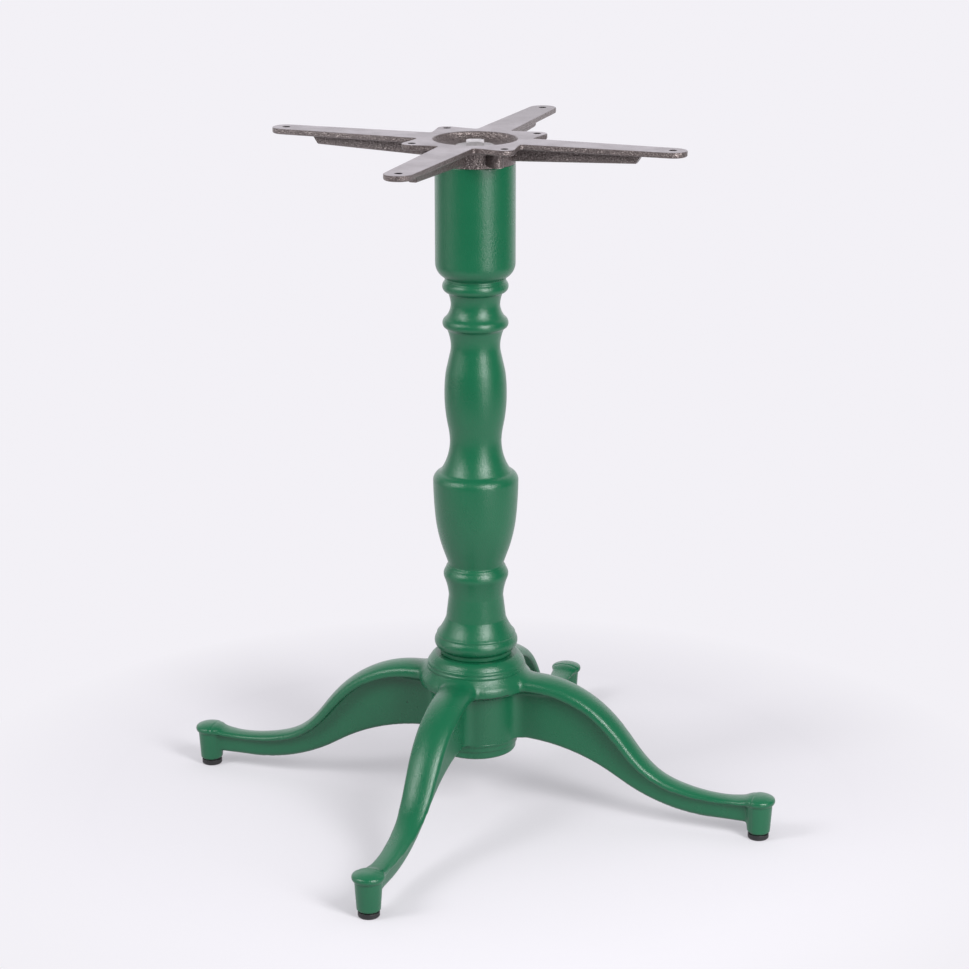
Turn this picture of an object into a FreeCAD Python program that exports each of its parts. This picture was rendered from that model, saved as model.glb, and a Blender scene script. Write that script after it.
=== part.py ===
"""Four star table base: a leg casting with four S-curved legs, a turned hollow column and a
four-armed top casting, clamped together by one long tie bolt, on four levelling glides.

Millimetres, +Z up. The origin is on the floor, on the axis of the column. The legs and the
arms lie along X and Y, the lugs of the top casting between them.
"""

import FreeCAD
import Part
import math
import os
import re
import Sketcher

Vector = FreeCAD.Vector
Rotation = FreeCAD.Rotation

# Turned profile of the column, from its foot up: the name of each step, how far it rises, its
# radius at the top, and the bulge of the edge that leads there. A bulge is the tangent of a
# quarter of the arc's angle: 0 is straight, plus swells outwards, minus is hollow.
COLUMN_STEPS = [
    ("neck", 5.5, 38.0, 0),
    ("torus_seat", 0.5, 40.0, 0),
    ("torus", 14.0, 41.8, 0.45),
    ("torus_quirk", 0.4, 41.1, 0),
    ("base_bead", 3.0, 40.9, 0.55),
    ("base_quirk", 0.4, 40.2, 0),
    ("bell", 35.7, 28.6, -0.17),
    ("bell_flare", 23.5, 33.0, -0.09),
    ("low_bead", 10.5, 32.2, 0.3),
    ("low_quirk", 0.5, 31.6, 0),
    ("low_lip", 4.0, 29.4, 0.35),
    ("vase_foot", 0.6, 28.8, 0),
    ("vase_waist", 18.0, 35.2, 0),
    ("vase_swell", 32.4, 42.3, 0.05),
    ("vase_wall", 42.2, 44.7, 0.024),
    ("vase_ovolo", 8.8, 37.8, 0.3),
    ("vase_step", 0.5, 37.0, 0),
    ("waist_hollow", 33.2, 26.9, -0.15),
    ("bulb_foot", 16.7, 29.1, -0.047),
    ("bulb_belly", 34.6, 32.4, 0.052),
    ("bulb_crown", 23.0, 30.8, 0.037),
    ("bulb_shoulder", 19.0, 26.5, 0),
    ("bulb_neck", 8.0, 25.5, -0.06),
    ("ring_flare", 15.0, 28.4, -0.08),
    ("ring_seat", 5.0, 32.8, -0.25),
    ("ring", 10.3, 30.5, 0.45),
    ("scotia_foot", 12.7, 25.4, -0.146),
    ("scotia_head", 13.5, 28.5, -0.1),
    ("bead_seat", 0.5, 31.0, 0),
    ("high_bead", 11.0, 31.9, 0.5),
    ("high_quirk", 0.5, 31.2, 0),
    ("astragal", 2.6, 31.0, 0.6),
    ("groove", 0.9, 31.6, 0),
    ("cap_round", 15.0, 41.3, 0.29),
    ("cap_wall", 103.5, 41.3, 0),
]

# Steps of the column whose radius, less the wall, gives the hollow's radius at their top.
CORE_STEPS = [
    "bell",
    "vase_foot",
    "vase_waist",
    "vase_swell",
    "vase_wall",
    "vase_step",
    "waist_hollow",
    "bulb_belly",
    "bulb_neck",
    "scotia_foot",
    "groove",
]

# Stations of the crown of a leg, from the hub to the foot: share of the way from the leg's
# inner end to the foot's axis, height, fall of the crown in degrees, half width and depth of
# the flange, and the upright part of its edge.
FLANGE_STATIONS = [
    ("root", 0.0, 154.6, 4.0, 20.4, 16.0, 5.6),
    ("shoulder", 0.128, 151.2, 8.5, 19.4, 14.5, 4.6),
    ("brow", 0.2487, 143.8, 20.5, 19.0, 13.6, 3.6),
    ("knee", 0.3511, 129.0, 35.0, 18.6, 12.8, 3.0),
    ("shin", 0.4499, 104.5, 50.5, 17.8, 12.4, 2.8),
    ("calf", 0.5267, 77.9, 50.0, 16.4, 10.9, 2.4),
    ("ankle", 0.6072, 58.5, 31.5, 14.9, 9.6, 2.0),
    ("instep", 0.7132, 47.6, 12.5, 13.2, 8.3, 1.6),
    ("toe", 0.8413, 42.7, 3.0, 11.9, 6.8, 1.3),
    ("throat", 0.9144, 43.2, -7.0, 12.4, 6.2, 1.2),
    ("tip", 0.9766, 46.9, -13.0, 14.4, 8.6, 1.6),
]

SIZES = [
    ("overlap", 2.0, "how far shapes that are joined run into each other"),
    # Leg casting: hub
    ("hub_height", 170.0, "top face of the hub above the floor"),
    ("hub_top_radius", 43.0, "flat top of the hub"),
    ("hub_dome_radius", 50.0, "hub at the foot of its dome"),
    ("hub_dome_rise", 11.0, "height of the dome"),
    ("hub_ring_step", 0.7, "each ring stands out by this"),
    ("hub_ring_rise", 2.4, "height of each ring"),
    ("hub_ring_gap", 0.6, "quirk between the rings"),
    ("skirt_radius", 52.0, "skirt below the rings, between the legs"),
    ("skirt_swell_radius", 50.4, "the skirt where it starts to turn in"),
    ("skirt_rise", 12.6, "height of the skirt above that"),
    ("skirt_turn", 10.7, "height over which it turns in to the barrel"),
    ("skirt_lip", 0.5, "the skirt's lower edge stands out from the barrel by this"),
    ("barrel_radius", 45.5, "barrel below the skirt"),
    ("barrel_bottom", 61.7, "underside of the barrel above the floor"),
    ("barrel_ring_rise", 6.2, "height of each turned step at the barrel's foot"),
    ("barrel_ring_step", 1.6, "each turned step goes in by this"),
    ("barrel_foot_rise", 8.2, "height of the last step"),
    ("barrel_edge", 3.4, "rounding of the barrel's lower edge"),
    ("hub_wall", 8.5, "wall round the hollow of the hub, which is open below"),
    ("hub_web_thickness", 12.0, "web that the tie bolt pulls on"),
    ("socket_radius", 33.8, "socket for the column's spigot"),
    ("socket_depth", 9.0, "depth of that socket"),
    ("bolt_hole_radius", 6.8, "holes for the tie bolt"),
    # Leg casting: legs
    ("leg_bury", 5.5, "how deep in the hub's wall the legs start"),
    ("flange_shoulder_share", 0.7, "radius of its shoulders, as a share of their rise to the crown"),
    ("web_half", 5.5, "half thickness of a leg's web"),
    ("web_edge", 4.6, "rounding of the web's lower edge"),
    ("web_root_height", 78.8, "lower edge of the web at the hub"),
    ("web_shin_share", 0.4389, "where the web's lower edge is steepest, on the way to the foot"),
    ("web_shin_height", 47.0, "lower edge of the web there"),
    ("web_toe_share", 0.812, "where the web's lower edge levels out, on the way to the foot"),
    ("web_toe_height", 16.6, "lower edge of the web at the foot"),
    ("web_root_fillet", 13.0, "fillet between a web and the barrel"),
    # Leg casting: feet
    ("foot_reach", 313.4, "axis of a foot from the axis of the column"),
    ("cap_crown_height", 48.4, "top of the cap above the floor"),
    ("cap_flat_radius", 1.5, "flat on top of the cap"),
    ("cap_lid_height", 45.2, "foot of the low dome on the cap"),
    ("cap_lid_draw", 2.0, "the cap draws in by this above its rim"),
    ("cap_rim_height", 42.0, "widest part of the cap above the floor"),
    ("cap_rim_radius", 16.8, "the cap at its widest"),
    ("cap_lip_height", 38.9, "underside of the cap's rim"),
    ("cap_lip_draw", 1.2, "the cap draws in by this below its rim"),
    ("boss_top_radius", 14.2, "foot boss under the cap"),
    ("boss_foot_radius", 12.1, "foot boss at its lower end"),
    ("boss_bottom", 7.1, "lower end of the boss above the floor"),
    ("boss_edge", 1.2, "chamfer at the boss's lower end"),
    ("glide_bore_depth", 28.0, "tapped bore in the boss"),
    # Levelling glides
    ("stud_radius", 4.0, "stud of a glide"),
    ("stud_clearance", 0.05, "radial clearance of the stud in its bore"),
    ("stud_end_gap", 1.5, "from the stud's top to the end of the bore"),
    ("stud_point", 0.8, "chamfer on the stud's top"),
    ("pad_radius", 11.0, "pad of a glide"),
    ("pad_height", 5.9, "pad up to its neck"),
    ("pad_shoulder", 0.6, "rounding of the pad's top edge"),
    ("pad_foot_radius", 8.9, "pad where it meets the floor"),
    ("pad_neck_radius", 9.6, "neck between the pad and the boss"),
    ("pad_socket_depth", 4.2, "how deep the stud is moulded into the pad"),
    # Column
    ("column_wall", 6.0, "wall of the hollow column"),
    ("spigot_length", 8.0, "spigots of the column and of the top casting"),
    ("spigot_clearance", 0.3, "radial clearance of the spigots"),
    ("column_socket_radius", 34.0, "socket in the column's top"),
    # Top casting
    ("spider_turn", -0.63, "turn of the top casting against the legs, degrees"),
    ("spider_height", 24.5, "top casting, without its spigot"),
    ("plate_thickness", 6.0, "plate of the top casting"),
    ("plate_edge", 0.8, "rounding of the plate's upper edges"),
    ("plate_lower_edge", 1.8, "rounding of the plate's lower edges"),
    ("notch_reach", 55.4, "corner between an arm and a lug, along the arm"),
    ("notch_fillet", 3.5, "fillet in that corner"),
    ("arm_hole_reach", 208.3, "arm holes from the axis"),
    ("arm_root_half", 18.2, "half width of an arm at its notches"),
    ("arm_tip_radius", 14.6, "round end of an arm"),
    ("fixing_hole_radius", 4.2, "screw holes in the arms and lugs"),
    ("lug_hole_reach", 69.6, "lug holes from the axis"),
    ("lug_tip_radius", 10.5, "round end of a lug"),
    ("lug_tip_turn", 53.13, "where that round end starts, degrees from the lug's axis"),
    ("lug_turn", 45.0, "direction of a lug, degrees"),
    ("rib_half", 4.8, "half thickness of an arm's rib"),
    ("rib_root_drop", 21.0, "rib's lower edge under the plate's top, at the hub"),
    ("rib_tip_drop", 15.3, "rib's lower edge under the plate's top, at its end"),
    ("rib_tip_reach", 171.0, "lower end of a rib"),
    ("rib_toe_length", 6.0, "how far the rib's end leans out"),
    ("rib_edge", 2.2, "rounding of the ribs' lower edges"),
    ("spider_hub_radius", 41.3, "wall under the plate"),
    ("spider_hub_fillet", 5.0, "fillet between that wall and the plate"),
    ("lug_rib_half", 6.0, "half thickness of a lug's rib"),
    ("lug_rib_reach", 53.5, "centre of the rib's round end"),
    ("lug_rib_drop", 21.5, "lug rib's lower face under the plate's top"),
    ("dish_lip_radius", 44.4, "lip of the dish"),
    ("dish_rim_round", 2.0, "rounding of the dish's lip"),
    ("dish_floor_radius", 30.5, "floor of the dish"),
    ("dish_depth", 9.4, "floor of the dish under the plate's top"),
    ("spider_core_radius", 27.0, "hollow under the dish"),
    ("spider_core_depth", 8.0, "depth of that hollow above the spigot"),
    # Tie bolt and its washers and nut
    ("bolt_radius", 6.0, "shank of the tie bolt"),
    ("bolt_turn", 20.0, "turn of the square head, degrees"),
    ("bolt_head_half", 9.0, "half width across the flats of the square head"),
    ("bolt_head_height", 5.0, "height of the head"),
    ("bolt_crown_radius", 9.9, "flat top of the head, inside its turned chamfer"),
    ("bolt_crown_reach", 4.8, "width of that chamfer, past the head's corners"),
    ("bolt_crown_fall", 2.4, "fall of that chamfer over its width"),
    ("bolt_spare", 6.0, "shank that stands out of the nut"),
    ("bolt_point", 1.2, "chamfer on the shank's end"),
    ("top_washer_radius", 19.5, "washer in the dish"),
    ("washer_thickness", 2.4, "both washers"),
    ("washer_hole_radius", 6.6, "hole of both washers"),
    ("bottom_washer_radius", 18.0, "washer under the hub's web"),
    ("nut_half", 9.5, "half width across the flats of the nut"),
    ("nut_height", 10.0, "height of the nut"),
    ("nut_clearance", 0.04, "radial clearance of the thread, as a plain bore"),
]

LEG_COUNT = 4
NEAR = 0.01

# Numbers that a sketch gives to the two ends of an edge, and to the centre of a circle.
START, END, CENTRE = 1, 2, 3

# Numbers of a sketch's level axis, which starts at its origin, and of its upright axis.
ORIGIN, UP_AXIS = -1, -2

# Bulges of the single arcs in the outlines below.
QUARTER = math.tan(math.radians(90 / 4))
WEB_KNEE_BULGE = -0.13
WEB_ANKLE_BULGE = 0.14
CAP_RIM_BULGE = 0.187
CAP_EDGE_BULGE = 0.287
CAP_CROWN_BULGE = 0.117
SKIRT_TURN_BULGE = 0.25
SKIRT_BULGE = 0.03
HUB_RING_BULGE = 0.6
HUB_DOME_BULGE = 0.22
LUG_SIDE_BULGE = -0.03
DISH_BULGE = 0.3


def sheet_rows():
    """Every size as (word, value, note), in the order of the lists above."""
    rows = list(SIZES)
    for name, rise, radius, bulge in COLUMN_STEPS:
        rows.append((name + "_rise", rise, "rise of this step of the column"))
        rows.append((name + "_radius", radius, "radius of the column there"))
    for name, way, height, fall, half, depth, upright in FLANGE_STATIONS:
        rows.append((name + "_share", way, "station of a leg's crown"))
        rows.append((name + "_height", height, "crown there, above the floor"))
        rows.append((name + "_fall", fall, "fall of the crown there, degrees"))
        rows.append((name + "_half", half, "half width of the flange there"))
        rows.append((name + "_depth", depth, "depth of the flange there"))
        rows.append((name + "_upright", upright, "upright part of the flange's edge there"))
    return rows


doc = FreeCAD.newDocument("TableBase")
sheet = doc.addObject("Spreadsheet::Sheet", "Sizes")
for row, (word, value, note) in enumerate(sheet_rows(), start=1):
    sheet.set(f"A{row}", word)
    sheet.set(f"B{row}", str(value))
    sheet.set(f"C{row}", note)
    sheet.setAlias(f"B{row}", word)
doc.recompute()

WORDS = {word for word, value, note in sheet_rows()}


def bind(text):
    """A formula of size words, as an object outside the sheet writes it."""
    return re.sub(r"[a-z_]+", lambda word: "Sizes." + word[0] if word[0] in WORDS else word[0], text)


def read(text):
    """The value of such a formula."""
    return float(sheet.evalExpression(bind(text)))


LEG_INNER = "(barrel_radius - leg_bury)"
HUB_CORE = "barrel_radius - hub_wall"
COLUMN_LENGTH = " + ".join(name + "_rise" for name, rise, radius, bulge in COLUMN_STEPS)
SPIDER_SEAT = f"hub_height + {COLUMN_LENGTH}"
BOLT_SEAT = f"{SPIDER_SEAT} + spider_height - dish_depth + washer_thickness"
NUT_SEAT = "hub_height - socket_depth - hub_web_thickness - washer_thickness"


def on_the_way(name):
    """Distance from the axis of a station of a leg."""
    return f"{LEG_INNER} + {name}_share * (foot_reach - {LEG_INNER})"


def plane(body, role):
    """One of a body's own origin planes."""
    return next(feature for feature in body.Origin.OriginFeatures if feature.Role == role)


def new_body(name, height="0"):
    """An empty body that stands at the given height on the axis."""
    body = doc.addObject("PartDesign::Body", name)
    body.Label = name
    body.setExpression("Placement.Base.z", bind(height))
    return body


def new_sketch(body, name, role, shift=None, turn=None):
    """A sketch on an origin plane, moved by (x, y, z) formulas and turned by (axis, degrees)."""
    sketch = body.newObject("Sketcher::SketchObject", name)
    sketch.AttachmentSupport = (plane(body, role), [""])
    sketch.MapMode = "FlatFace"
    if turn:
        axis, degrees = turn
        sketch.AttachmentOffset = FreeCAD.Placement(Vector(), Rotation(axis, read(degrees)))
        sketch.setExpression("AttachmentOffset.Rotation.Angle", bind(degrees))
    for letter, formula in zip("xyz", shift or ()):
        if formula != "0":
            sketch.setExpression("AttachmentOffset.Base." + letter, bind(formula))
    return sketch


def add_arc(sketch, start, end, bulge):
    """Arc between two spots, swelling by bulge: its number, and its ends at those spots."""
    across = end - start
    half = across.Length / 2
    radius = half * (1 + bulge * bulge) / (2 * abs(bulge))
    side = Vector(-across.y, across.x, 0).normalize()
    centre = (start + end) / 2 + side * (half * (1 - bulge * bulge) / (2 * bulge))
    first, last = (start, end) if bulge > 0 else (end, start)
    angles = [math.atan2(spot.y - centre.y, spot.x - centre.x) for spot in (first, last)]
    if angles[1] < angles[0]:
        angles[1] += 2 * math.pi
    circle = Part.Circle(centre, Vector(0, 0, 1), radius)
    number = sketch.addGeometry(Part.ArcOfCircle(circle, *angles), False)
    return (number, START, END) if bulge > 0 else (number, END, START)


def outline(sketch, corners):
    """A closed outline. Each corner is (across, up) in formulas, or (across, up, bulge) where
    an arc leads to it. Every corner is held at its two formulas, and an arc by its radius."""
    spots = [Vector(read(corner[0]), read(corner[1]), 0) for corner in corners]
    edges = []
    for index, corner in enumerate(corners):
        before, here = spots[index - 1], spots[index]
        bulge = corner[2] if len(corner) > 2 else 0
        if bulge:
            number, near_end, far_end = add_arc(sketch, before, here, bulge)
            last = corners[index - 1]
            chord = f"hypot({corner[0]} - ({last[0]}); {corner[1]} - ({last[1]}))"
            formula = f"{chord} * {(1 + bulge * bulge) / (4 * abs(bulge)):.8f}"
            edges.append((number, near_end, far_end, formula))
        else:
            line = sketch.addGeometry(Part.LineSegment(before, here), False)
            edges.append((line, START, END, None))
    for index, (number, near_end, far_end, formula) in enumerate(edges):
        following, meeting_end = edges[(index + 1) % len(edges)][:2]
        sketch.addConstraint(Sketcher.Constraint("Coincident", number, far_end, following, meeting_end))
        for kind, text, value in (
            ("DistanceX", corners[index][0], spots[index].x),
            ("DistanceY", corners[index][1], spots[index].y),
        ):
            if text == "0":
                axis = UP_AXIS if kind == "DistanceX" else ORIGIN
                sketch.addConstraint(Sketcher.Constraint("PointOnObject", number, far_end, axis))
            else:
                hold(sketch, Sketcher.Constraint(kind, ORIGIN, START, number, far_end, value), text)
        if formula:
            hold(sketch, Sketcher.Constraint("Radius", number, read(formula)), formula)
    return sketch


def hold(sketch, constraint, formula):
    """Adds a dimension and binds it to its formula."""
    number = sketch.addConstraint(constraint)
    sketch.setExpression(f"Constraints[{number}]", bind(formula))


def revolve(body, sketch, name, kind="Revolution"):
    """Full turn of a sketch about its own upright axis, added or, as a Groove, taken away."""
    feature = body.newObject("PartDesign::" + kind, name)
    feature.Profile = sketch
    feature.ReferenceAxis = (sketch, ["V_Axis"])
    feature.Angle = 360
    return feature


def pad(body, sketch, name, length, both_ways=False):
    """Sketch padded by a formula's length, from its plane or half to each side of it."""
    feature = body.newObject("PartDesign::Pad", name)
    feature.Profile = sketch
    feature.Midplane = both_ways
    feature.setExpression("Length", bind(length))
    return feature


def around(body, name, features=()):
    """The features, or with none named the whole shape so far, repeated round the upright axis."""
    before = body.Tip
    pattern = body.newObject("PartDesign::PolarPattern", name)
    axis = next(feature for feature in body.Origin.OriginFeatures if feature.Role == "Z_Axis")
    pattern.Axis = (axis, [""])
    pattern.Angle = 360
    pattern.Occurrences = LEG_COUNT
    if features:
        pattern.Originals = list(features)
    else:
        pattern.TransformMode = "Whole shape"
        pattern.BaseFeature = before
    body.Tip = pattern
    return pattern


def round_edges(body, name, radius, wanted):
    """Fillet on those edges of the body's tip that the test wants."""
    doc.recompute()
    base = body.Tip
    edges = [f"Edge{number}" for number, edge in enumerate(base.Shape.Edges, start=1) if wanted(edge)]
    fillet = body.newObject("PartDesign::Fillet", name)
    fillet.Base = (base, edges)
    fillet.setExpression("Radius", bind(radius))
    body.Tip = fillet
    return fillet


def middle_of(edge):
    """The spot half way along an edge."""
    return edge.valueAt((edge.FirstParameter + edge.LastParameter) / 2)


def runs_along(edge, spots):
    """True on an edge of a face of the web that joins two of the (across, up) spots."""
    if abs(middle_of(edge).y) < NEAR:
        return False
    return all(
        any(math.hypot(vertex.X - across, vertex.Z - up) < NEAR for across, up in spots)
        for vertex in edge.Vertexes
    )


def flange_section(body, station):
    """Cross section of a leg's flange: flat below, upright edges, round shoulders, low crown."""
    sketch = new_sketch(
        body,
        station + "_section",
        "YZ_Plane",
        ("0", station + "_height", on_the_way(station)),
        (Vector(1, 0, 0), station + "_fall"),
    )
    half, depth, upright = (read(station + end) for end in ("_half", "_depth", "_upright"))
    rise = depth - upright
    shoulder = rise * read("flange_shoulder_share")
    crown = (rise**2 + (half - shoulder) ** 2 - shoulder**2) / (2 * (rise - shoulder))
    lean = math.atan2(crown - rise, half - shoulder)
    foot = Vector(half, -depth, 0)
    knee = Vector(half, -rise, 0)
    up = Vector(0, 0, 1)

    def mirror(spot):
        return Vector(-spot.x, spot.y, 0)

    def arc(centre, radius, first, last):
        return sketch.addGeometry(Part.ArcOfCircle(Part.Circle(centre, up, radius), first, last), False)

    bottom = sketch.addGeometry(Part.LineSegment(mirror(foot), foot), False)
    right = sketch.addGeometry(Part.LineSegment(foot, knee), False)
    shoulder_right = arc(Vector(half - shoulder, -rise, 0), shoulder, 0, lean)
    top = arc(Vector(0, -crown, 0), crown, lean, math.pi - lean)
    shoulder_left = arc(Vector(shoulder - half, -rise, 0), shoulder, math.pi - lean, math.pi)
    left = sketch.addGeometry(Part.LineSegment(mirror(knee), mirror(foot)), False)
    for constraint in (
        ("Coincident", bottom, END, right, START),
        ("Tangent", right, END, shoulder_right, START),
        ("Tangent", shoulder_right, END, top, START),
        ("Tangent", top, END, shoulder_left, START),
        ("Tangent", shoulder_left, END, left, START),
        ("Coincident", left, END, bottom, START),
        ("Symmetric", bottom, START, bottom, END, UP_AXIS),
        ("Vertical", right),
        ("Vertical", left),
        ("Equal", shoulder_right, shoulder_left),
        ("Equal", right, left),
        ("PointOnObject", ORIGIN, START, top),
    ):
        sketch.addConstraint(Sketcher.Constraint(*constraint))
    hold(sketch, Sketcher.Constraint("DistanceY", bottom, END, ORIGIN, START, depth), station + "_depth")
    hold(sketch, Sketcher.Constraint("DistanceX", ORIGIN, START, bottom, END, half), station + "_half")
    hold(sketch, Sketcher.Constraint("DistanceY", right, START, right, END, upright), station + "_upright")
    corner = f"({station}_depth - {station}_upright) * flange_shoulder_share"
    hold(sketch, Sketcher.Constraint("Radius", shoulder_right, shoulder), corner)
    return sketch


def leg_base():
    """Hub, four legs and four foot bosses, in one casting."""
    body = new_body("leg_base")
    in_flange = [
        (
            f"{on_the_way(name)} - {name}_depth / 2 * sin({name}_fall)",
            f"{name}_height - {name}_depth / 2 * cos({name}_fall)",
        )
        for name, *station in FLANGE_STATIONS[:-1]
    ]
    web_end = "foot_reach - (boss_foot_radius + stud_radius) / 2"
    lower = [
        (LEG_INNER, "web_root_height"),
        ("barrel_radius + web_root_fillet", "web_root_height"),
        (on_the_way("web_shin"), "web_shin_height", WEB_KNEE_BULGE),
        (on_the_way("web_toe"), "web_toe_height", WEB_ANKLE_BULGE),
        (web_end, "web_toe_height"),
    ]
    web_outline = outline(
        new_sketch(body, "web_outline", "XZ_Plane"),
        lower + [(web_end, "tip_height - tip_depth / 2")] + in_flange[::-1],
    )
    pad(body, web_outline, "web", "2 * web_half", both_ways=True)
    spots = [(read(corner[0]), read(corner[1])) for corner in lower]
    round_edges(body, "web_edges", "web_edge", lambda edge: runs_along(edge, spots))

    sections = [flange_section(body, station[0]) for station in FLANGE_STATIONS]
    flange = body.newObject("PartDesign::AdditiveLoft", "flange")
    flange.Profile = sections[0]
    flange.Sections = sections[1:]

    centre_side = "web_half + web_root_fillet"
    tangent_reach = f"sqrt((barrel_radius + web_root_fillet)^2 - ({centre_side})^2)"
    barrel_share = "barrel_radius / (barrel_radius + web_root_fillet)"
    barrel_spot = (f"{tangent_reach} * {barrel_share}", f"({centre_side}) * {barrel_share}")
    root_bulge = -math.tan(math.atan2(read(tangent_reach), read(centre_side)) / 4)
    root = outline(
        new_sketch(body, "web_root_outline", "XY_Plane", ("0", "0", "web_root_height")),
        [
            (LEG_INNER, f"-({barrel_spot[1]})"),
            (barrel_spot[0], f"-({barrel_spot[1]})"),
            (tangent_reach, "-web_half", root_bulge),
            (tangent_reach, "web_half"),
            (barrel_spot[0], barrel_spot[1], root_bulge),
            (LEG_INNER, barrel_spot[1]),
        ],
    )
    pad(body, root, "web_root", "root_height - root_depth - web_root_height + overlap")

    bore = "stud_radius + stud_clearance"
    foot_outline = outline(
        new_sketch(body, "foot_outline", "XZ_Plane", ("foot_reach", "0", "0")),
        [
            (bore, "boss_bottom"),
            ("boss_foot_radius - boss_edge", "boss_bottom"),
            ("boss_foot_radius", "boss_bottom + boss_edge"),
            ("boss_top_radius", "cap_lip_height"),
            ("cap_rim_radius - cap_lip_draw", "cap_lip_height"),
            ("cap_rim_radius", "cap_rim_height", CAP_RIM_BULGE),
            ("cap_rim_radius - cap_lid_draw", "cap_lid_height", CAP_EDGE_BULGE),
            ("cap_flat_radius", "cap_crown_height", CAP_CROWN_BULGE),
            ("0", "cap_crown_height"),
            ("0", "boss_bottom + glide_bore_depth + stud_radius / 2"),
            (bore, "boss_bottom + glide_bore_depth"),
        ],
    )
    revolve(body, foot_outline, "foot")
    around(body, "four_legs")

    ring_foot = "hub_height - hub_dome_rise"
    skirt_top = f"{ring_foot} - 2 * hub_ring_rise - hub_ring_gap"
    skirt_swell = f"{skirt_top} - skirt_rise"
    skirt_foot = f"{skirt_swell} - skirt_turn"
    web_top = "hub_height - socket_depth"
    step_foot = "barrel_bottom + barrel_foot_rise"
    hub = outline(
        new_sketch(body, "hub_outline", "XZ_Plane"),
        [
            (HUB_CORE, "barrel_bottom"),
            ("barrel_radius - 2 * barrel_ring_step - barrel_edge", "barrel_bottom"),
            ("barrel_radius - 2 * barrel_ring_step", "barrel_bottom + barrel_edge", QUARTER),
            ("barrel_radius - 2 * barrel_ring_step", step_foot),
            ("barrel_radius - barrel_ring_step", f"{step_foot} + barrel_ring_step", QUARTER),
            ("barrel_radius - barrel_ring_step", f"{step_foot} + barrel_ring_rise"),
            ("barrel_radius", f"{step_foot} + barrel_ring_rise + barrel_ring_step", QUARTER),
            ("barrel_radius", skirt_foot),
            ("barrel_radius + skirt_lip", skirt_foot),
            ("skirt_swell_radius", skirt_swell, SKIRT_TURN_BULGE),
            ("skirt_radius", skirt_top, SKIRT_BULGE),
            ("hub_dome_radius + hub_ring_step", skirt_top),
            ("hub_dome_radius + hub_ring_step", f"{skirt_top} + hub_ring_rise", HUB_RING_BULGE),
            ("hub_dome_radius", f"{skirt_top} + hub_ring_rise + hub_ring_gap"),
            ("hub_dome_radius", ring_foot, HUB_RING_BULGE),
            ("hub_top_radius", "hub_height", HUB_DOME_BULGE),
            ("socket_radius", "hub_height"),
            ("socket_radius", web_top),
            ("bolt_hole_radius", web_top),
            ("bolt_hole_radius", f"{web_top} - hub_web_thickness"),
            (HUB_CORE, f"{web_top} - hub_web_thickness"),
        ],
    )
    revolve(body, hub, "hub")
    return body


def column():
    """Turned and cored casting: its spigot stands in the hub, its open top takes the other one."""
    body = new_body("column", "hub_height")
    spigot = "socket_radius - spigot_clearance"
    levels = {}
    level = ""
    corners = [
        (f"{spigot} - column_wall", "-spigot_length"),
        (spigot, "-spigot_length"),
        (spigot, "0"),
        ("neck_radius", "0"),
    ]
    for name, rise, radius, bulge in COLUMN_STEPS:
        level = f"{level} + {name}_rise" if level else f"{name}_rise"
        levels[name] = level
        corners.append((name + "_radius", level, bulge))
    corners += [
        ("column_socket_radius", COLUMN_LENGTH),
        ("column_socket_radius", levels["cap_round"]),
    ]
    for name in reversed(CORE_STEPS):
        extra = " - column_wall / 2" if name == "vase_step" else ""
        corners.append((f"{name}_radius - column_wall{extra}", levels[name]))
    revolve(body, outline(new_sketch(body, "column_outline", "XZ_Plane"), corners), "turning")
    return body


def plate_corners():
    """Outline of the top plate: four times an arm's round end, a notch, a lug and a notch."""
    tip_bulge = math.tan(math.radians(read("lug_tip_turn") / 4))
    along = "lug_hole_reach + lug_tip_radius * cos(lug_tip_turn)"
    aside = "lug_tip_radius * sin(lug_tip_turn)"
    lug_tip = "(lug_hole_reach + lug_tip_radius) * sqrt(2) / 2"
    near = (f"({along} + {aside}) * sqrt(2) / 2", f"({along} - {aside}) * sqrt(2) / 2")
    quarter = [
        ("arm_hole_reach", "-arm_tip_radius", 0),
        ("arm_hole_reach + arm_tip_radius", "0", QUARTER),
        ("arm_hole_reach", "arm_tip_radius", QUARTER),
        ("notch_reach + notch_fillet", "arm_root_half", 0),
        ("notch_reach", "arm_root_half + notch_fillet", -QUARTER),
        (near[0], near[1], LUG_SIDE_BULGE),
        (lug_tip, lug_tip, tip_bulge),
        (near[1], near[0], tip_bulge),
        ("arm_root_half + notch_fillet", "notch_reach", LUG_SIDE_BULGE),
        ("arm_root_half", "notch_reach + notch_fillet", -QUARTER),
    ]
    corners = list(quarter)
    while len(corners) < LEG_COUNT * len(quarter):
        for across, up, bulge in corners[-len(quarter) :]:
            corners.append(("0" if up == "0" else f"-({up})", across, bulge))
    return corners


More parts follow.
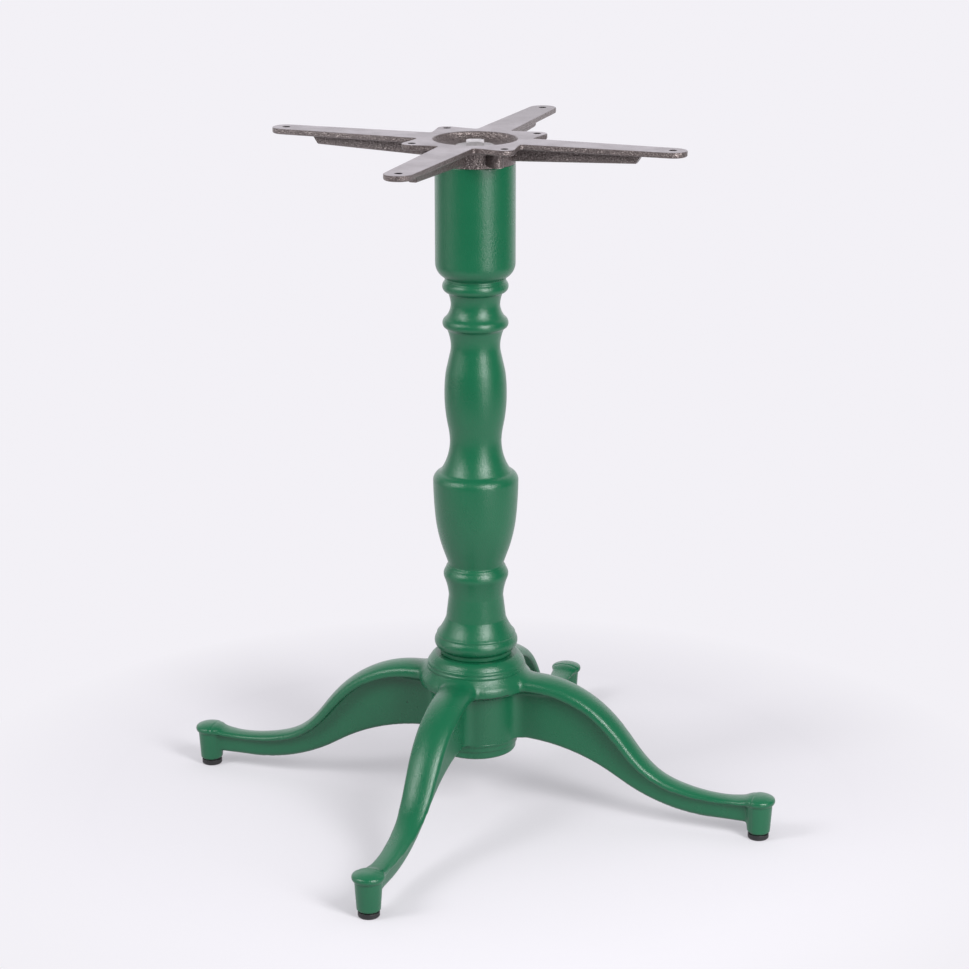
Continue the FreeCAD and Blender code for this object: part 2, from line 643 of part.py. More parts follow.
def top_spider():
    """Plate with four arms and four lugs, ribbed below, dished in the middle."""
    body = new_body("top_spider", SPIDER_SEAT)
    body.setExpression("Placement.Rotation.Angle", bind("spider_turn"))
    plate_foot = "spider_height - plate_thickness"
    spigot = "column_socket_radius - spigot_clearance"
    plate = outline(new_sketch(body, "plate_outline", "XY_Plane", ("0", "0", plate_foot)), plate_corners())
    pad(body, plate, "plate", "plate_thickness")
    top, underside = read("spider_height"), read(plate_foot)
    round_edges(body, "plate_top_edges", "plate_edge", lambda edge: level_at(edge, top))
    round_edges(body, "plate_lower_edges", "plate_lower_edge", lambda edge: level_at(edge, underside))

    middle = outline(
        new_sketch(body, "middle_outline", "XZ_Plane"),
        [
            ("bolt_hole_radius", "spider_core_depth"),
            ("spider_core_radius", "spider_core_depth"),
            ("spider_core_radius", "-spigot_length"),
            (spigot, "-spigot_length"),
            (spigot, "0"),
            ("spider_hub_radius", "0"),
            ("spider_hub_radius", f"{plate_foot} - spider_hub_fillet"),
            ("spider_hub_radius + spider_hub_fillet", plate_foot, -QUARTER),
            ("spider_hub_radius + spider_hub_fillet", f"{plate_foot} + plate_thickness / 2"),
            ("bolt_hole_radius", f"{plate_foot} + plate_thickness / 2"),
        ],
    )
    revolve(body, middle, "middle")

    buried = f"{plate_foot} + plate_thickness / 4"
    rib = outline(
        new_sketch(body, "rib_outline", "XZ_Plane"),
        [
            ("spider_core_radius + overlap", "spider_height - rib_root_drop"),
            ("rib_tip_reach", "spider_height - rib_tip_drop"),
            ("rib_tip_reach + rib_toe_length", plate_foot),
            ("rib_tip_reach + rib_toe_length", buried),
            ("spider_core_radius + overlap", buried),
        ],
    )
    rib_pad = pad(body, rib, "rib", "2 * rib_half", both_ways=True)
    lug_rib = outline(
        new_sketch(
            body,
            "lug_rib_outline",
            "XY_Plane",
            ("0", "0", "spider_height - lug_rib_drop"),
            (Vector(0, 0, 1), "lug_turn"),
        ),
        [
            ("spider_core_radius + overlap", "-lug_rib_half"),
            ("lug_rib_reach", "-lug_rib_half"),
            ("lug_rib_reach + lug_rib_half", "0", QUARTER),
            ("lug_rib_reach", "lug_rib_half", QUARTER),
            ("spider_core_radius + overlap", "lug_rib_half"),
        ],
    )
    lug_rib_pad = pad(body, lug_rib, "lug_rib", f"{buried} - (spider_height - lug_rib_drop)")
    around(body, "four_ribs", [rib_pad, lug_rib_pad])
    rib_foot = read("spider_height - rib_root_drop"), read("spider_height - rib_tip_drop")
    round_edges(body, "rib_edges", "rib_edge", lambda edge: long_rib_edge(edge, *rib_foot))

    dish = outline(
        new_sketch(body, "dish_outline", "XZ_Plane"),
        [
            ("0", "spider_height - dish_depth"),
            ("dish_floor_radius", "spider_height - dish_depth"),
            ("dish_lip_radius - dish_rim_round", "spider_height - dish_rim_round", DISH_BULGE),
            ("dish_lip_radius", "spider_height", -DISH_BULGE),
            ("0", "spider_height"),
        ],
    )
    revolve(body, dish, "dish", "Groove")

    drill(body, "bolt_hole", "0", "bolt_hole_radius")
    around(body, "arm_holes", [drill(body, "arm_hole", "arm_hole_reach", "fixing_hole_radius")])
    around(body, "lug_holes", [drill(body, "lug_hole", "lug_hole_reach", "fixing_hole_radius", "lug_turn")])
    return body


def level_at(edge, height):
    """True on an edge that lies wholly at the given height."""
    return abs(edge.BoundBox.ZMin - height) < NEAR and edge.BoundBox.ZLength < NEAR


def long_rib_edge(edge, low, high):
    """True on the two long lower edges of each arm's rib."""
    return edge.Length > read("lug_hole_reach") and low < middle_of(edge).z < high


def drill(body, name, reach, radius, turn=None):
    """Hole right through, at a distance from the axis, along X or turned by some degrees."""
    direction = (Vector(0, 0, 1), turn) if turn else None
    sketch = new_sketch(body, name + "_outline", "XY_Plane", turn=direction)
    centre = Vector(read(reach), 0, 0)
    number = sketch.addGeometry(Part.Circle(centre, Vector(0, 0, 1), read(radius)), False)
    sketch.addConstraint(Sketcher.Constraint("PointOnObject", number, CENTRE, ORIGIN))
    if reach == "0":
        sketch.addConstraint(Sketcher.Constraint("PointOnObject", number, CENTRE, UP_AXIS))
    else:
        hold(sketch, Sketcher.Constraint("DistanceX", ORIGIN, START, number, CENTRE, centre.x), reach)
    hold(sketch, Sketcher.Constraint("Radius", number, read(radius)), radius)
    pocket = body.newObject("PartDesign::Pocket", name)
    pocket.Profile = sketch
    pocket.Type = "ThroughAll"
    pocket.Midplane = True
    return pocket


def washer(name, height, radius):
    """Flat washer on the tie bolt."""
    body = new_body(name, height)
    sketch = outline(
        new_sketch(body, name + "_outline", "XZ_Plane"),
        [
            ("washer_hole_radius", "0"),
            (radius, "0"),
            (radius, "washer_thickness"),
            ("washer_hole_radius", "washer_thickness"),
        ],
    )
    revolve(body, sketch, name + "_disc")
    return body


def tie_bolt():
    """Square head in the dish and a long shank down the column, through the hub's web."""
    body = new_body("tie_bolt", BOLT_SEAT)
    body.setExpression("Placement.Rotation.Angle", bind("bolt_turn"))
    half = "bolt_head_half"
    head = outline(
        new_sketch(body, "head_outline", "XY_Plane"),
        [(f"-{half}", f"-{half}"), (half, f"-{half}"), (half, half), (f"-{half}", half)],
    )
    pad(body, head, "head", "bolt_head_height")
    crown = outline(
        new_sketch(body, "crown_outline", "XZ_Plane"),
        [
            ("bolt_crown_radius", "bolt_head_height"),
            ("bolt_crown_radius + bolt_crown_reach", "bolt_head_height - bolt_crown_fall"),
            ("bolt_crown_radius + bolt_crown_reach", "bolt_head_height"),
        ],
    )
    revolve(body, crown, "crown", "Groove")
    length = f"({BOLT_SEAT}) - ({NUT_SEAT}) + nut_height + bolt_spare"
    shank = outline(
        new_sketch(body, "shank_outline", "XZ_Plane"),
        [
            ("0", "bolt_head_height / 2"),
            ("0", f"-({length})"),
            ("bolt_radius - bolt_point", f"-({length})"),
            ("bolt_radius", f"bolt_point - ({length})"),
            ("bolt_radius", "bolt_head_height / 2"),
        ],
    )
    revolve(body, shank, "shank")
    return body


def share(word, factor):
    """A size times a factor, or a plain 0 that a corner can be held to an axis by."""
    return f"{word} * {factor:.8f}" if abs(factor) > NEAR else "0"


def bottom_nut():
    """Hexagon nut under the hub's web."""
    body = new_body("bottom_nut", f"{NUT_SEAT} - nut_height")
    to_corner = 1 / math.cos(math.radians(30))
    corners = []
    for angle in range(0, 360, 60):
        across = to_corner * math.cos(math.radians(angle))
        up = to_corner * math.sin(math.radians(angle))
        corners.append((share("nut_half", across), share("nut_half", up)))
    pad(body, outline(new_sketch(body, "nut_outline", "XY_Plane"), corners), "hexagon", "nut_height")
    thread = outline(
        new_sketch(body, "thread_outline", "XZ_Plane"),
        [
            ("0", "0"),
            ("bolt_radius + nut_clearance", "0"),
            ("bolt_radius + nut_clearance", "nut_height"),
            ("0", "nut_height"),
        ],
    )
    revolve(body, thread, "thread", "Groove")
    return body


def glide_stud(name, reach_x, reach_y):
    """Threaded stud of a levelling glide, moulded into its pad, up in the bore of a foot."""
    body = new_body(name)
    foot = "pad_height - pad_socket_depth"
    top = "boss_bottom + glide_bore_depth - stud_end_gap"
    stud = outline(
        new_sketch(body, name + "_outline", "XZ_Plane"),
        [
            ("0", foot),
            ("stud_radius", foot),
            ("stud_radius", f"{top} - stud_point"),
            ("stud_radius - stud_point", top),
            ("0", top),
        ],
    )
    revolve(body, stud, name + "_turning")
    body.setExpression("Placement.Base.x", bind(reach_x))
    body.setExpression("Placement.Base.y", bind(reach_y))
    return body


def glide_pad(name, reach_x, reach_y):
    """Moulded pad of a levelling glide: rounded foot, and a neck that stops on the boss."""
    body = new_body(name)
    foot = "pad_height - pad_socket_depth"
    moulding = outline(
        new_sketch(body, name + "_outline", "XZ_Plane"),
        [
            ("0", "0"),
            ("pad_foot_radius", "0"),
            ("pad_radius", "pad_radius - pad_foot_radius", QUARTER),
            ("pad_radius", "pad_height - pad_shoulder"),
            ("pad_radius - pad_shoulder", "pad_height", QUARTER),
            ("pad_neck_radius", "pad_height"),
            ("pad_neck_radius", "boss_bottom"),
            ("stud_radius", "boss_bottom"),
            ("stud_radius", foot),
            ("0", foot),
        ],
    )
    revolve(body, moulding, name + "_moulding")
    body.setExpression("Placement.Base.x", bind(reach_x))
    body.setExpression("Placement.Base.y", bind(reach_y))
    return body


def main():
    castings = [leg_base(), column(), top_spider()]
    fixings = [
        tie_bolt(),
        washer("top_washer", f"{SPIDER_SEAT} + spider_height - dish_depth", "top_washer_radius"),
        washer("bottom_washer", NUT_SEAT, "bottom_washer_radius"),
        bottom_nut(),
    ]
    glides = []
    for side, reach_x, reach_y in (
        ("right", "foot_reach", "0"),
        ("back", "0", "foot_reach"),
        ("left", "-foot_reach", "0"),
        ("front", "0", "-foot_reach"),
    ):
        glides.append(glide_stud("glide_stud_" + side, reach_x, reach_y))
        glides.append(glide_pad("glide_pad_" + side, reach_x, reach_y))
    doc.recompute()

    for thing in doc.Objects:
        if "Invalid" in thing.State or "Error" in thing.State:
            raise RuntimeError(f"{thing.Name} did not build: {thing.getStatusString()}")
    parts = castings + fixings + glides
    for part in parts:
        if part.Shape.isNull() or not part.Shape.isValid() or len(part.Shape.Solids) != 1:
            raise RuntimeError(f"{part.Label} is not one valid solid")
    os.makedirs("parts", exist_ok=True)
    for part in parts:
        part.Shape.exportStep(f"parts/{part.Label}.step")
        print(part.Label, round(part.Shape.Volume), "cubic mm")


main()
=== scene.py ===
import math

import bmesh
import bpy
import numpy as np
from mathutils import Matrix, Vector


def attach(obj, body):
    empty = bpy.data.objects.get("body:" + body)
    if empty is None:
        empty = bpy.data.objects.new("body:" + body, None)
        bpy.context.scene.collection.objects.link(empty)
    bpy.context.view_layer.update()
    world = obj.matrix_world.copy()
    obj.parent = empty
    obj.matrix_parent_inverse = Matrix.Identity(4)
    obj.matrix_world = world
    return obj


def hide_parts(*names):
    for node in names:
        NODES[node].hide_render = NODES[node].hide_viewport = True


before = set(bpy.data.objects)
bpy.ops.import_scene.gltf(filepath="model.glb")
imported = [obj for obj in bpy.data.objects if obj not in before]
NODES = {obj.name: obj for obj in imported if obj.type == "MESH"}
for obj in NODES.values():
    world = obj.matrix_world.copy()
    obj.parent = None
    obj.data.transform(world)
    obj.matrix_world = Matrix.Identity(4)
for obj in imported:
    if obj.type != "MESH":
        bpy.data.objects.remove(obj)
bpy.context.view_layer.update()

SIDES = {"right": (1, 0), "back": (0, 1), "left": (-1, 0), "front": (0, -1)}

# Sizes shared by the pieces, in metres.
MM = 0.001
FOOT_REACH = 313.4 * MM
TOP_FACE = 720.0 * MM
SPIDER_TURN = math.radians(-0.63)
ARM_HOLE_REACH = 208.3 * MM
LUG_HOLE_REACH = 69.6 * MM * math.sqrt(0.5)

# Turned profile of the column from its foot up, in millimetres: rise of each step, radius at
# its top, and bulge of the edge that leads there, which is the tangent of a quarter of the
# arc's angle, plus outwards.
COLUMN_STEPS = [
    (5.5, 38.0, 0),
    (0.5, 40.0, 0),
    (14.0, 41.8, 0.45),
    (0.4, 41.1, 0),
    (3.0, 40.9, 0.55),
    (0.4, 40.2, 0),
    (35.7, 28.6, -0.17),
    (23.5, 33.0, -0.09),
    (10.5, 32.2, 0.3),
    (0.5, 31.6, 0),
    (4.0, 29.4, 0.35),
    (0.6, 28.8, 0),
    (18.0, 35.2, 0),
    (32.4, 42.3, 0.05),
    (42.2, 44.7, 0.024),
    (8.8, 37.8, 0.3),
    (0.5, 37.0, 0),
    (33.2, 26.9, -0.15),
    (16.7, 29.1, -0.047),
    (34.6, 32.4, 0.052),
    (23.0, 30.8, 0.037),
    (19.0, 26.5, 0),
    (8.0, 25.5, -0.06),
    (15.0, 28.4, -0.08),
    (5.0, 32.8, -0.25),
    (10.3, 30.5, 0.45),
    (12.7, 25.4, -0.146),
    (13.5, 28.5, -0.1),
    (0.5, 31.0, 0),
    (11.0, 31.9, 0.5),
    (0.5, 31.2, 0),
    (2.6, 31.0, 0.6),
    (0.9, 31.6, 0),
    (15.0, 41.3, 0.29),
    (103.5, 41.3, 0),
]
HUB_TOP = 170.0
COLUMN_FOOT = 38.0
COLUMN_WALL = 6.4
COLUMN_SPIGOT = 33.5
SPIGOT_WALL = 6.0
SPIGOT_FOOT = 162.2
COLUMN_SOCKET = 34.0
COLUMN_SOCKET_DEPTH = 103.5
WIDEST_CORE = 33.6

# Crown of the hub, going up: two rings and the dome, as (radius, height, bulge) in millimetres.
HUB_CROWN = [
    (51.9, 152.4, 0),
    (52.4, 154.8, 0),
    (52.0, 157.7, 0.3),
    (51.4, 158.5, 0),
    (51.0, 161.5, 0.25),
    (49.7, 162.8, 0),
    (43.4, 170.0, 0.176),
    (33.8, 170.0, 0),
]
CROWN_INSIDE = [(33.8, 161.0, 0), (30.0, 161.0, 0), (30.0, 158.0, 0), (44.0, 158.0, 0), (44.0, 152.4, 0)]

# Skirt of the hub, which flares out under the rings to a low upright rim.
HUB_SKIRT = [
    (44.0, 131.5, 0),
    (47.0, 132.6, 0),
    (59.0, 135.9, 0),
    (60.0, 136.8, 0),
    (60.0, 141.4, 0),
    (58.0, 146.4, 0.19),
    (51.4, 153.4, 0),
    (44.0, 153.4, 0),
    (44.0, 131.5, 0),
]

# Boss and cap of a foot.
FOOT_TURNING = [
    (4.05, 7.1, 0),
    (10.9, 7.1, 0),
    (12.1, 8.3, 0),
    (14.2, 38.9, 0),
    (15.6, 38.9, 0),
    (16.8, 42.0, 0.187),
    (14.8, 45.2, 0.287),
    (1.5, 48.4, 0.117),
    (0.0, 48.4, 0),
    (0.0, 37.1, 0),
    (4.05, 35.1, 0),
    (4.05, 7.1, 0),
]

# Foot of the hub's barrel.
HUB_FOOT = [
    (37.0, 61.7, 0),
    (38.9, 61.7, 0),
    (42.3, 65.1, 0.4142),
    (42.3, 70.5, 0),
    (43.2, 70.7, 0),
    (43.9, 71.4, 0.4142),
    (43.9, 76.7, 0),
    (44.8, 76.9, 0),
    (45.5, 77.6, 0.4142),
    (45.55, 79.5, 0),
    (37.0, 79.5, 0),
    (37.0, 61.7, 0),
]

# Stud of a levelling glide, plain at its foot and threaded above.
STUD_RADIUS = 4.0
STUD_FOOT = 1.7
STUD_PLAIN = 4.5
STUD_TOP = 33.6
STUD_POINT = 0.8
THREAD_PITCH = 1.25
THREAD_DEPTH = 0.62

# Marks of the leg casting. Cracks at the skirt's lower edge: first and last angle in radians
# about the column, from the front leg towards the right one, heights there and half width in
# millimetres.
RIM_CRACKS = [
    (0.39, 0.78, 136.5, 137.1, 0.4),
    (0.41, 0.46, 136.0, 136.2, 0.8),
    (0.83, 0.95, 137.4, 138.0, 0.25),
    (-0.94, -0.84, 136.3, 136.0, 1.0),
    (-0.84, -0.54, 136.2, 136.4, 0.3),
]
CRACK_WOBBLE = 0.3
CRACK_WOBBLE_SCALE = 420.0
CRACK_EDGE = 0.25
CRACK_TAPER = 0.02
RIM_INSIDE = 54.0
RIM_OUTSIDE = 56.0
# Pits in the left leg's web: middle and size in millimetres.
WEB_PITS = [((-77.0, -6.0, 103.5), 1.0), ((-65.0, -6.0, 99.5), 0.8)]

# Places where the bare iron changes, in metres: the edge of the painted shade in a screw hole,
# how far under the top face the grinding ends, and where the left arm turns paler and the back arm
# duller.
HOLE_SHADE_EDGE = (4.6 * MM, 4.9 * MM)
GRINDING_END = (TOP_FACE - 0.45 * MM, TOP_FACE - 0.1 * MM)
PALER_LEFT = (-60.0 * MM, -110.0 * MM)
DULLER_BACK = (60.0 * MM, 190.0 * MM)
# Grinding lines: their angle to the arms in radians, and their stretch.
GRINDING_ANGLE = 0.35
GRINDING_STRETCH = (60.0, 1400.0, 1.0)

# Colours of the finishes.
COAT_DEEP = (0.0045, 0.087, 0.038, 1)
COAT_LIGHT = (0.0055, 0.096, 0.042, 1)
COAT_CRACK = (0.006, 0.02, 0.012, 1)
IRON_HOLLOW = (0.105, 0.082, 0.08, 1)
IRON_GRAIN = (0.25, 0.215, 0.211, 1)
IRON_PALE = (0.36, 0.33, 0.33, 1)
# Painted shade inside the screw holes.
IRON_HOLE_SHADE = (0.02, 0.016, 0.016, 1)
GROUND_LINE = (0.29, 0.265, 0.282, 1)
GROUND_FACE = (0.375, 0.347, 0.367, 1)
GROUND_CLOUD = (0.2, 0.176, 0.188, 1)
GROUND_DULL = (0.2, 0.18, 0.19, 1)
PAD_BLACK = (0.012, 0.012, 0.013, 1)
PAD_DUST = (0.07, 0.068, 0.066, 1)


# Shader and geometry node helpers

def place(tree, kind, settings=None, **inputs):
    """Adds a node; each input is a value, or the socket that feeds it."""
    node = tree.nodes.new(kind)
    for name, value in (settings or {}).items():
        setattr(node, name, value)
    for name, value in inputs.items():
        feed(tree, node, name, value)
    return node


def feed(tree, node, name, value):
    """Sets a node's input, which is named as on the node, or _ and its number."""
    socket = node.inputs[int(name[1:])] if name[0] == "_" else node.inputs[name.replace("_", " ")]
    if isinstance(value, bpy.types.NodeSocket):
        tree.links.new(value, socket)
    else:
        socket.default_value = value


def math_node(tree, operation, first, second=0.0):
    """Output of a Math node."""
    return place(tree, "ShaderNodeMath", {"operation": operation}, _0=first, _1=second).outputs[0]


def product(tree, *factors):
    """Product of values and sockets."""
    result = factors[0]
    for factor in factors[1:]:
        result = math_node(tree, "MULTIPLY", result, factor)
    return result


def blend_colour(tree, share, first, second):
    """Output of a Mix Color node."""
    node = place(tree, "ShaderNodeMix", {"data_type": "RGBA"})
    tree.nodes.update()
    feed(tree, node, "_0", share)
    feed(tree, node, "_6", first)
    feed(tree, node, "_7", second)
    return node.outputs[2]


def remap(tree, value, low, high, to_low=0.0, to_high=1.0):
    """Output of a clamped Map Range node."""
    node = place(tree, "ShaderNodeMapRange", _0=value, _1=low, _2=high, _3=to_low, _4=to_high)
    return node.outputs[0]


def noise(tree, vector, scale, detail, roughness):
    """Factor output of a noise texture."""
    inputs = {"Vector": vector, "Scale": scale, "Detail": detail, "Roughness": roughness}
    return place(tree, "ShaderNodeTexNoise", **inputs).outputs["Fac"]


def distance_between(tree, first, second):
    """Distance between two places."""
    node = place(tree, "ShaderNodeVectorMath", {"operation": "DISTANCE"}, _0=first, _1=second)
    return node.outputs["Value"]


def split_vector(tree, vector):
    """The three outputs of a Separate XYZ node."""
    return place(tree, "ShaderNodeSeparateXYZ", Vector=vector).outputs


def node_group(name, kind, sockets):
    """A node group with its named inputs and outputs, as (tree, inputs, outputs node)."""
    tree = bpy.data.node_groups.new(name, kind)
    for label, in_out, socket_type, default in sockets:
        socket = tree.interface.new_socket(label, in_out=in_out, socket_type=socket_type)
        if default is not None:
            socket.default_value = default
    return tree, tree.nodes.new("NodeGroupInput").outputs, tree.nodes.new("NodeGroupOutput")


def use_group(tree, group, **inputs):
    """Places a shader group with its own values."""
    node = tree.nodes.new("ShaderNodeGroup")
    node.node_tree = group
    for name, value in inputs.items():
        feed(tree, node, name, value)
    return node.outputs


def object_coords(tree):
    """Object coordinates, which are the frame's own."""
    return place(tree, "ShaderNodeTexCoord").outputs["Object"]


def new_material(name):
    """Empty material: its tree and its Principled shader."""
    material = bpy.data.materials.new(name)
    material.use_nodes = True
    tree = material.node_tree
    shader = next(node for node in tree.nodes if node.type == "BSDF_PRINCIPLED")
    return material, tree, shader


def bump(tree, height, strength, distance, normal=None):
    """Output of a Bump node."""
    node = place(tree, "ShaderNodeBump", Strength=strength, Distance=distance, Height=height)
    if normal:
        tree.links.new(normal, node.inputs["Normal"])
    return node.outputs[0]


# Effects that finishes use

def powder_skin_group():
    """Fine orange peel of a powder coat, and its slow change of tone."""
    tree, given, result = node_group(
        "Powder Skin",
        "ShaderNodeTree",
        [
            ("Vector", "INPUT", "NodeSocketVector", None),
            ("Peel Scale", "INPUT", "NodeSocketFloat", 520.0),
            ("Tone Scale", "INPUT", "NodeSocketFloat", 14.0),
            ("Height", "OUTPUT", "NodeSocketFloat", None),
            ("Tone", "OUTPUT", "NodeSocketFloat", None),
        ],
    )
    peel = noise(tree, given["Vector"], given["Peel Scale"], 2.0, 0.5)
    finer = noise(tree, given["Vector"], product(tree, given["Peel Scale"], 3.1), 1.0, 0.5)
    height = math_node(tree, "ADD", peel, product(tree, finer, 0.35))
    tree.links.new(height, result.inputs["Height"])
    tone = remap(tree, noise(tree, given["Vector"], given["Tone Scale"], 4.0, 0.6), 0.35, 0.65)
    tree.links.new(tone, result.inputs["Tone"])
    return tree


def sand_skin_group():
    """Grainy skin of iron cast in sand: its relief and its grain."""
    tree, given, result = node_group(
        "Sand Skin",
        "ShaderNodeTree",
        [
            ("Vector", "INPUT", "NodeSocketVector", None),
            ("Grain Scale", "INPUT", "NodeSocketFloat", 700.0),
            ("Height", "OUTPUT", "NodeSocketFloat", None),
            ("Grain", "OUTPUT", "NodeSocketFloat", None),
        ],
    )
    vector, scale = given["Vector"], given["Grain Scale"]
    grain = noise(tree, vector, scale, 2.0, 0.65)
    pits = noise(tree, vector, product(tree, scale, 0.35), 3.0, 0.6)
    cells = place(tree, "ShaderNodeTexVoronoi", Vector=vector, Scale=product(tree, scale, 0.8))
    height = math_node(tree, "ADD", grain, product(tree, pits, 1.4))
    height = math_node(tree, "SUBTRACT", height, product(tree, cells.outputs["Distance"], 0.6))
    tree.links.new(height, result.inputs["Height"])
    tree.links.new(remap(tree, grain, 0.3, 0.7), result.inputs["Grain"])
    return tree


def casting_marks_group():
    """Cracks along the lower edge of the hub's skirt and pits in a web, as a dark mask."""
    tree, given, result = node_group(
        "Casting Marks",
        "ShaderNodeTree",
        [("Vector", "INPUT", "NodeSocketVector", None), ("Mask", "OUTPUT", "NodeSocketFloat", None)],
    )
    x, y, z = split_vector(tree, given["Vector"])
    level = place(tree, "ShaderNodeCombineXYZ", X=x, Y=y)
    reach = distance_between(tree, level.outputs[0], (0.0, 0.0, 0.0))
    at_rim = remap(tree, reach, RIM_INSIDE * MM, RIM_OUTSIDE * MM)
    angle = math_node(tree, "ARCTAN2", x, product(tree, y, -1.0))
    wobble = noise(tree, given["Vector"], CRACK_WOBBLE_SCALE, 2.0, 0.6)
    wobble = remap(tree, wobble, 0.3, 0.7, -CRACK_WOBBLE * MM, CRACK_WOBBLE * MM)
    mask = 0.0
    for first, last, first_height, last_height, half_width in RIM_CRACKS:
        middle = remap(tree, angle, first, last, first_height * MM, last_height * MM)
        middle = math_node(tree, "ADD", middle, wobble)
        off = math_node(tree, "ABSOLUTE", math_node(tree, "SUBTRACT", z, middle))
        line = remap(tree, off, half_width * MM, (half_width + CRACK_EDGE) * MM, 1.0, 0.0)
        begun = remap(tree, angle, first - CRACK_TAPER, first)
        unended = remap(tree, angle, last, last + CRACK_TAPER, 1.0, 0.0)
        mask = math_node(tree, "MAXIMUM", mask, product(tree, begun, unended, line, at_rim))
    for spot, size in WEB_PITS:
        off = distance_between(tree, given["Vector"], tuple(MM * coordinate for coordinate in spot))
        off = math_node(tree, "ADD", off, wobble)
        pit = remap(tree, off, 0.5 * size * MM, size * MM, 1.0, 0.0)
        mask = math_node(tree, "MAXIMUM", mask, pit)
    tree.links.new(mask, result.inputs["Mask"])
    return tree


def screw_hole_shade_mask(tree, coords):
    """Painted shade inside the top casting's screw holes, which repeat in each quarter of it."""
    turned = place(tree, "ShaderNodeMapping", Vector=coords, Rotation=(0, 0, -SPIDER_TURN))
    spread = place(tree, "ShaderNodeVectorMath", {"operation": "ABSOLUTE"}, _0=turned.outputs[0])
    off_x, off_y, _ = split_vector(tree, spread.outputs[0])
    longer = math_node(tree, "MAXIMUM", off_x, off_y)
    shorter = math_node(tree, "MINIMUM", off_x, off_y)
    folded = place(tree, "ShaderNodeCombineXYZ", X=longer, Y=shorter).outputs[0]
    mask = 0.0
    for hole in ((ARM_HOLE_REACH, 0.0, 0.0), (LUG_HOLE_REACH, LUG_HOLE_REACH, 0.0)):
        # Painted shade where a spot lies inside a screw hole.
        shade_in_hole = remap(tree, distance_between(tree, folded, hole), *HOLE_SHADE_EDGE, 1.0, 0.0)
        mask = math_node(tree, "MAXIMUM", mask, shade_in_hole)
    return mask


POWDER_SKIN = powder_skin_group()
SAND_SKIN = sand_skin_group()


# Finishes

def green_powder_coat(name, marks=None):
    """Satin green powder coat over cast iron, with the casting's marks where it has them."""
    material, tree, shader = new_material(name)
    coords = object_coords(tree)
    skin = use_group(tree, POWDER_SKIN, Vector=coords, Peel_Scale=760.0, Tone_Scale=9.0)
    colour = blend_colour(tree, skin["Tone"], COAT_DEEP, COAT_LIGHT)
    normal = bump(tree, skin["Height"], 0.8, 0.0003)
    if marks:
        mask = use_group(tree, marks, Vector=coords)["Mask"]
        colour = blend_colour(tree, mask, colour, COAT_CRACK)
        normal = bump(tree, math_node(tree, "SUBTRACT", 1.0, mask), 1.0, 0.0006, normal)
    feed(tree, shader, "Base_Color", colour)
    feed(tree, shader, "Roughness", remap(tree, skin["Tone"], 0.0, 1.0, 0.26, 0.3))
    shader.inputs["IOR"].default_value = 1.5
    feed(tree, shader, "Normal", normal)
    return material


def rough_iron(tree, coords, grain):
    """Colour of the sand-cast skin: paler on the left arm, and darkened by painted shade in the screw
    holes.
    """
    colour = blend_colour(tree, grain, IRON_HOLLOW, IRON_GRAIN)
    left = remap(tree, split_vector(tree, coords)[0], *PALER_LEFT, 0.0, 0.15)
    colour = blend_colour(tree, left, colour, IRON_PALE)
    # Painted shade darkens the screw holes.
    return blend_colour(tree, screw_hole_shade_mask(tree, coords), colour, IRON_HOLE_SHADE)


def ground_iron(tree, coords, lines):
    """Colour of the ground face: grinding lines, a dull cloud, and duller on the back arm."""
    colour = blend_colour(tree, remap(tree, lines, 0.3, 0.7), GROUND_LINE, GROUND_FACE)
    cloud = remap(tree, noise(tree, coords, 38.0, 3.0, 0.55), 0.35, 0.65, 0.0, 0.7)
    colour = blend_colour(tree, cloud, colour, GROUND_CLOUD)
    duller = remap(tree, split_vector(tree, coords)[1], *DULLER_BACK, 0.0, 0.7)
    return blend_colour(tree, duller, colour, GROUND_DULL)


def bare_iron():
    """Sand-cast iron with its face ground flat: grey and scratched on top, dark and grainy
    elsewhere."""
    material, tree, shader = new_material("bare_iron")
    coords = object_coords(tree)
    skin = use_group(tree, SAND_SKIN, Vector=coords, Grain_Scale=640.0)
    ground = remap(tree, split_vector(tree, coords)[2], *GRINDING_END)
    stretched = {"Rotation": (0, 0, GRINDING_ANGLE), "Scale": GRINDING_STRETCH}
    across = place(tree, "ShaderNodeMapping", Vector=coords, **stretched)
    lines = noise(tree, across.outputs[0], 1.0, 3.0, 0.6)
    rough_colour = rough_iron(tree, coords, skin["Grain"])
    ground_colour = ground_iron(tree, coords, lines)
    feed(tree, shader, "Base_Color", blend_colour(tree, ground, rough_colour, ground_colour))
    feed(tree, shader, "Metallic", remap(tree, ground, 0.0, 1.0, 0.75, 0.5))
    feed(tree, shader, "Roughness", remap(tree, ground, 0.0, 1.0, 0.33, 0.42))
    relief = product(tree, skin["Height"], remap(tree, ground, 0.0, 1.0, 1.0, 0.03))
    scratches = product(tree, lines, remap(tree, ground, 0.0, 1.0, 0.0, 0.2))
    height = math_node(tree, "ADD", relief, scratches)
    feed(tree, shader, "Normal", bump(tree, height, 0.9, 0.0008))
    return material


def worn_steel(name, colour, roughness, metallic):
    """Plated or turned steel with faint wear."""
    material, tree, shader = new_material(name)
    cloud = noise(tree, object_coords(tree), 160.0, 4.0, 0.6)
    darker = tuple(0.72 * channel for channel in colour[:3]) + (1,)
    feed(tree, shader, "Base_Color", blend_colour(tree, remap(tree, cloud, 0.35, 0.7), colour, darker))
    shader.inputs["Metallic"].default_value = metallic
    feed(tree, shader, "Roughness", remap(tree, cloud, 0.3, 0.7, roughness - 0.06, roughness + 0.08))
    feed(tree, shader, "Normal", bump(tree, cloud, 0.15, 0.0003))
    return material


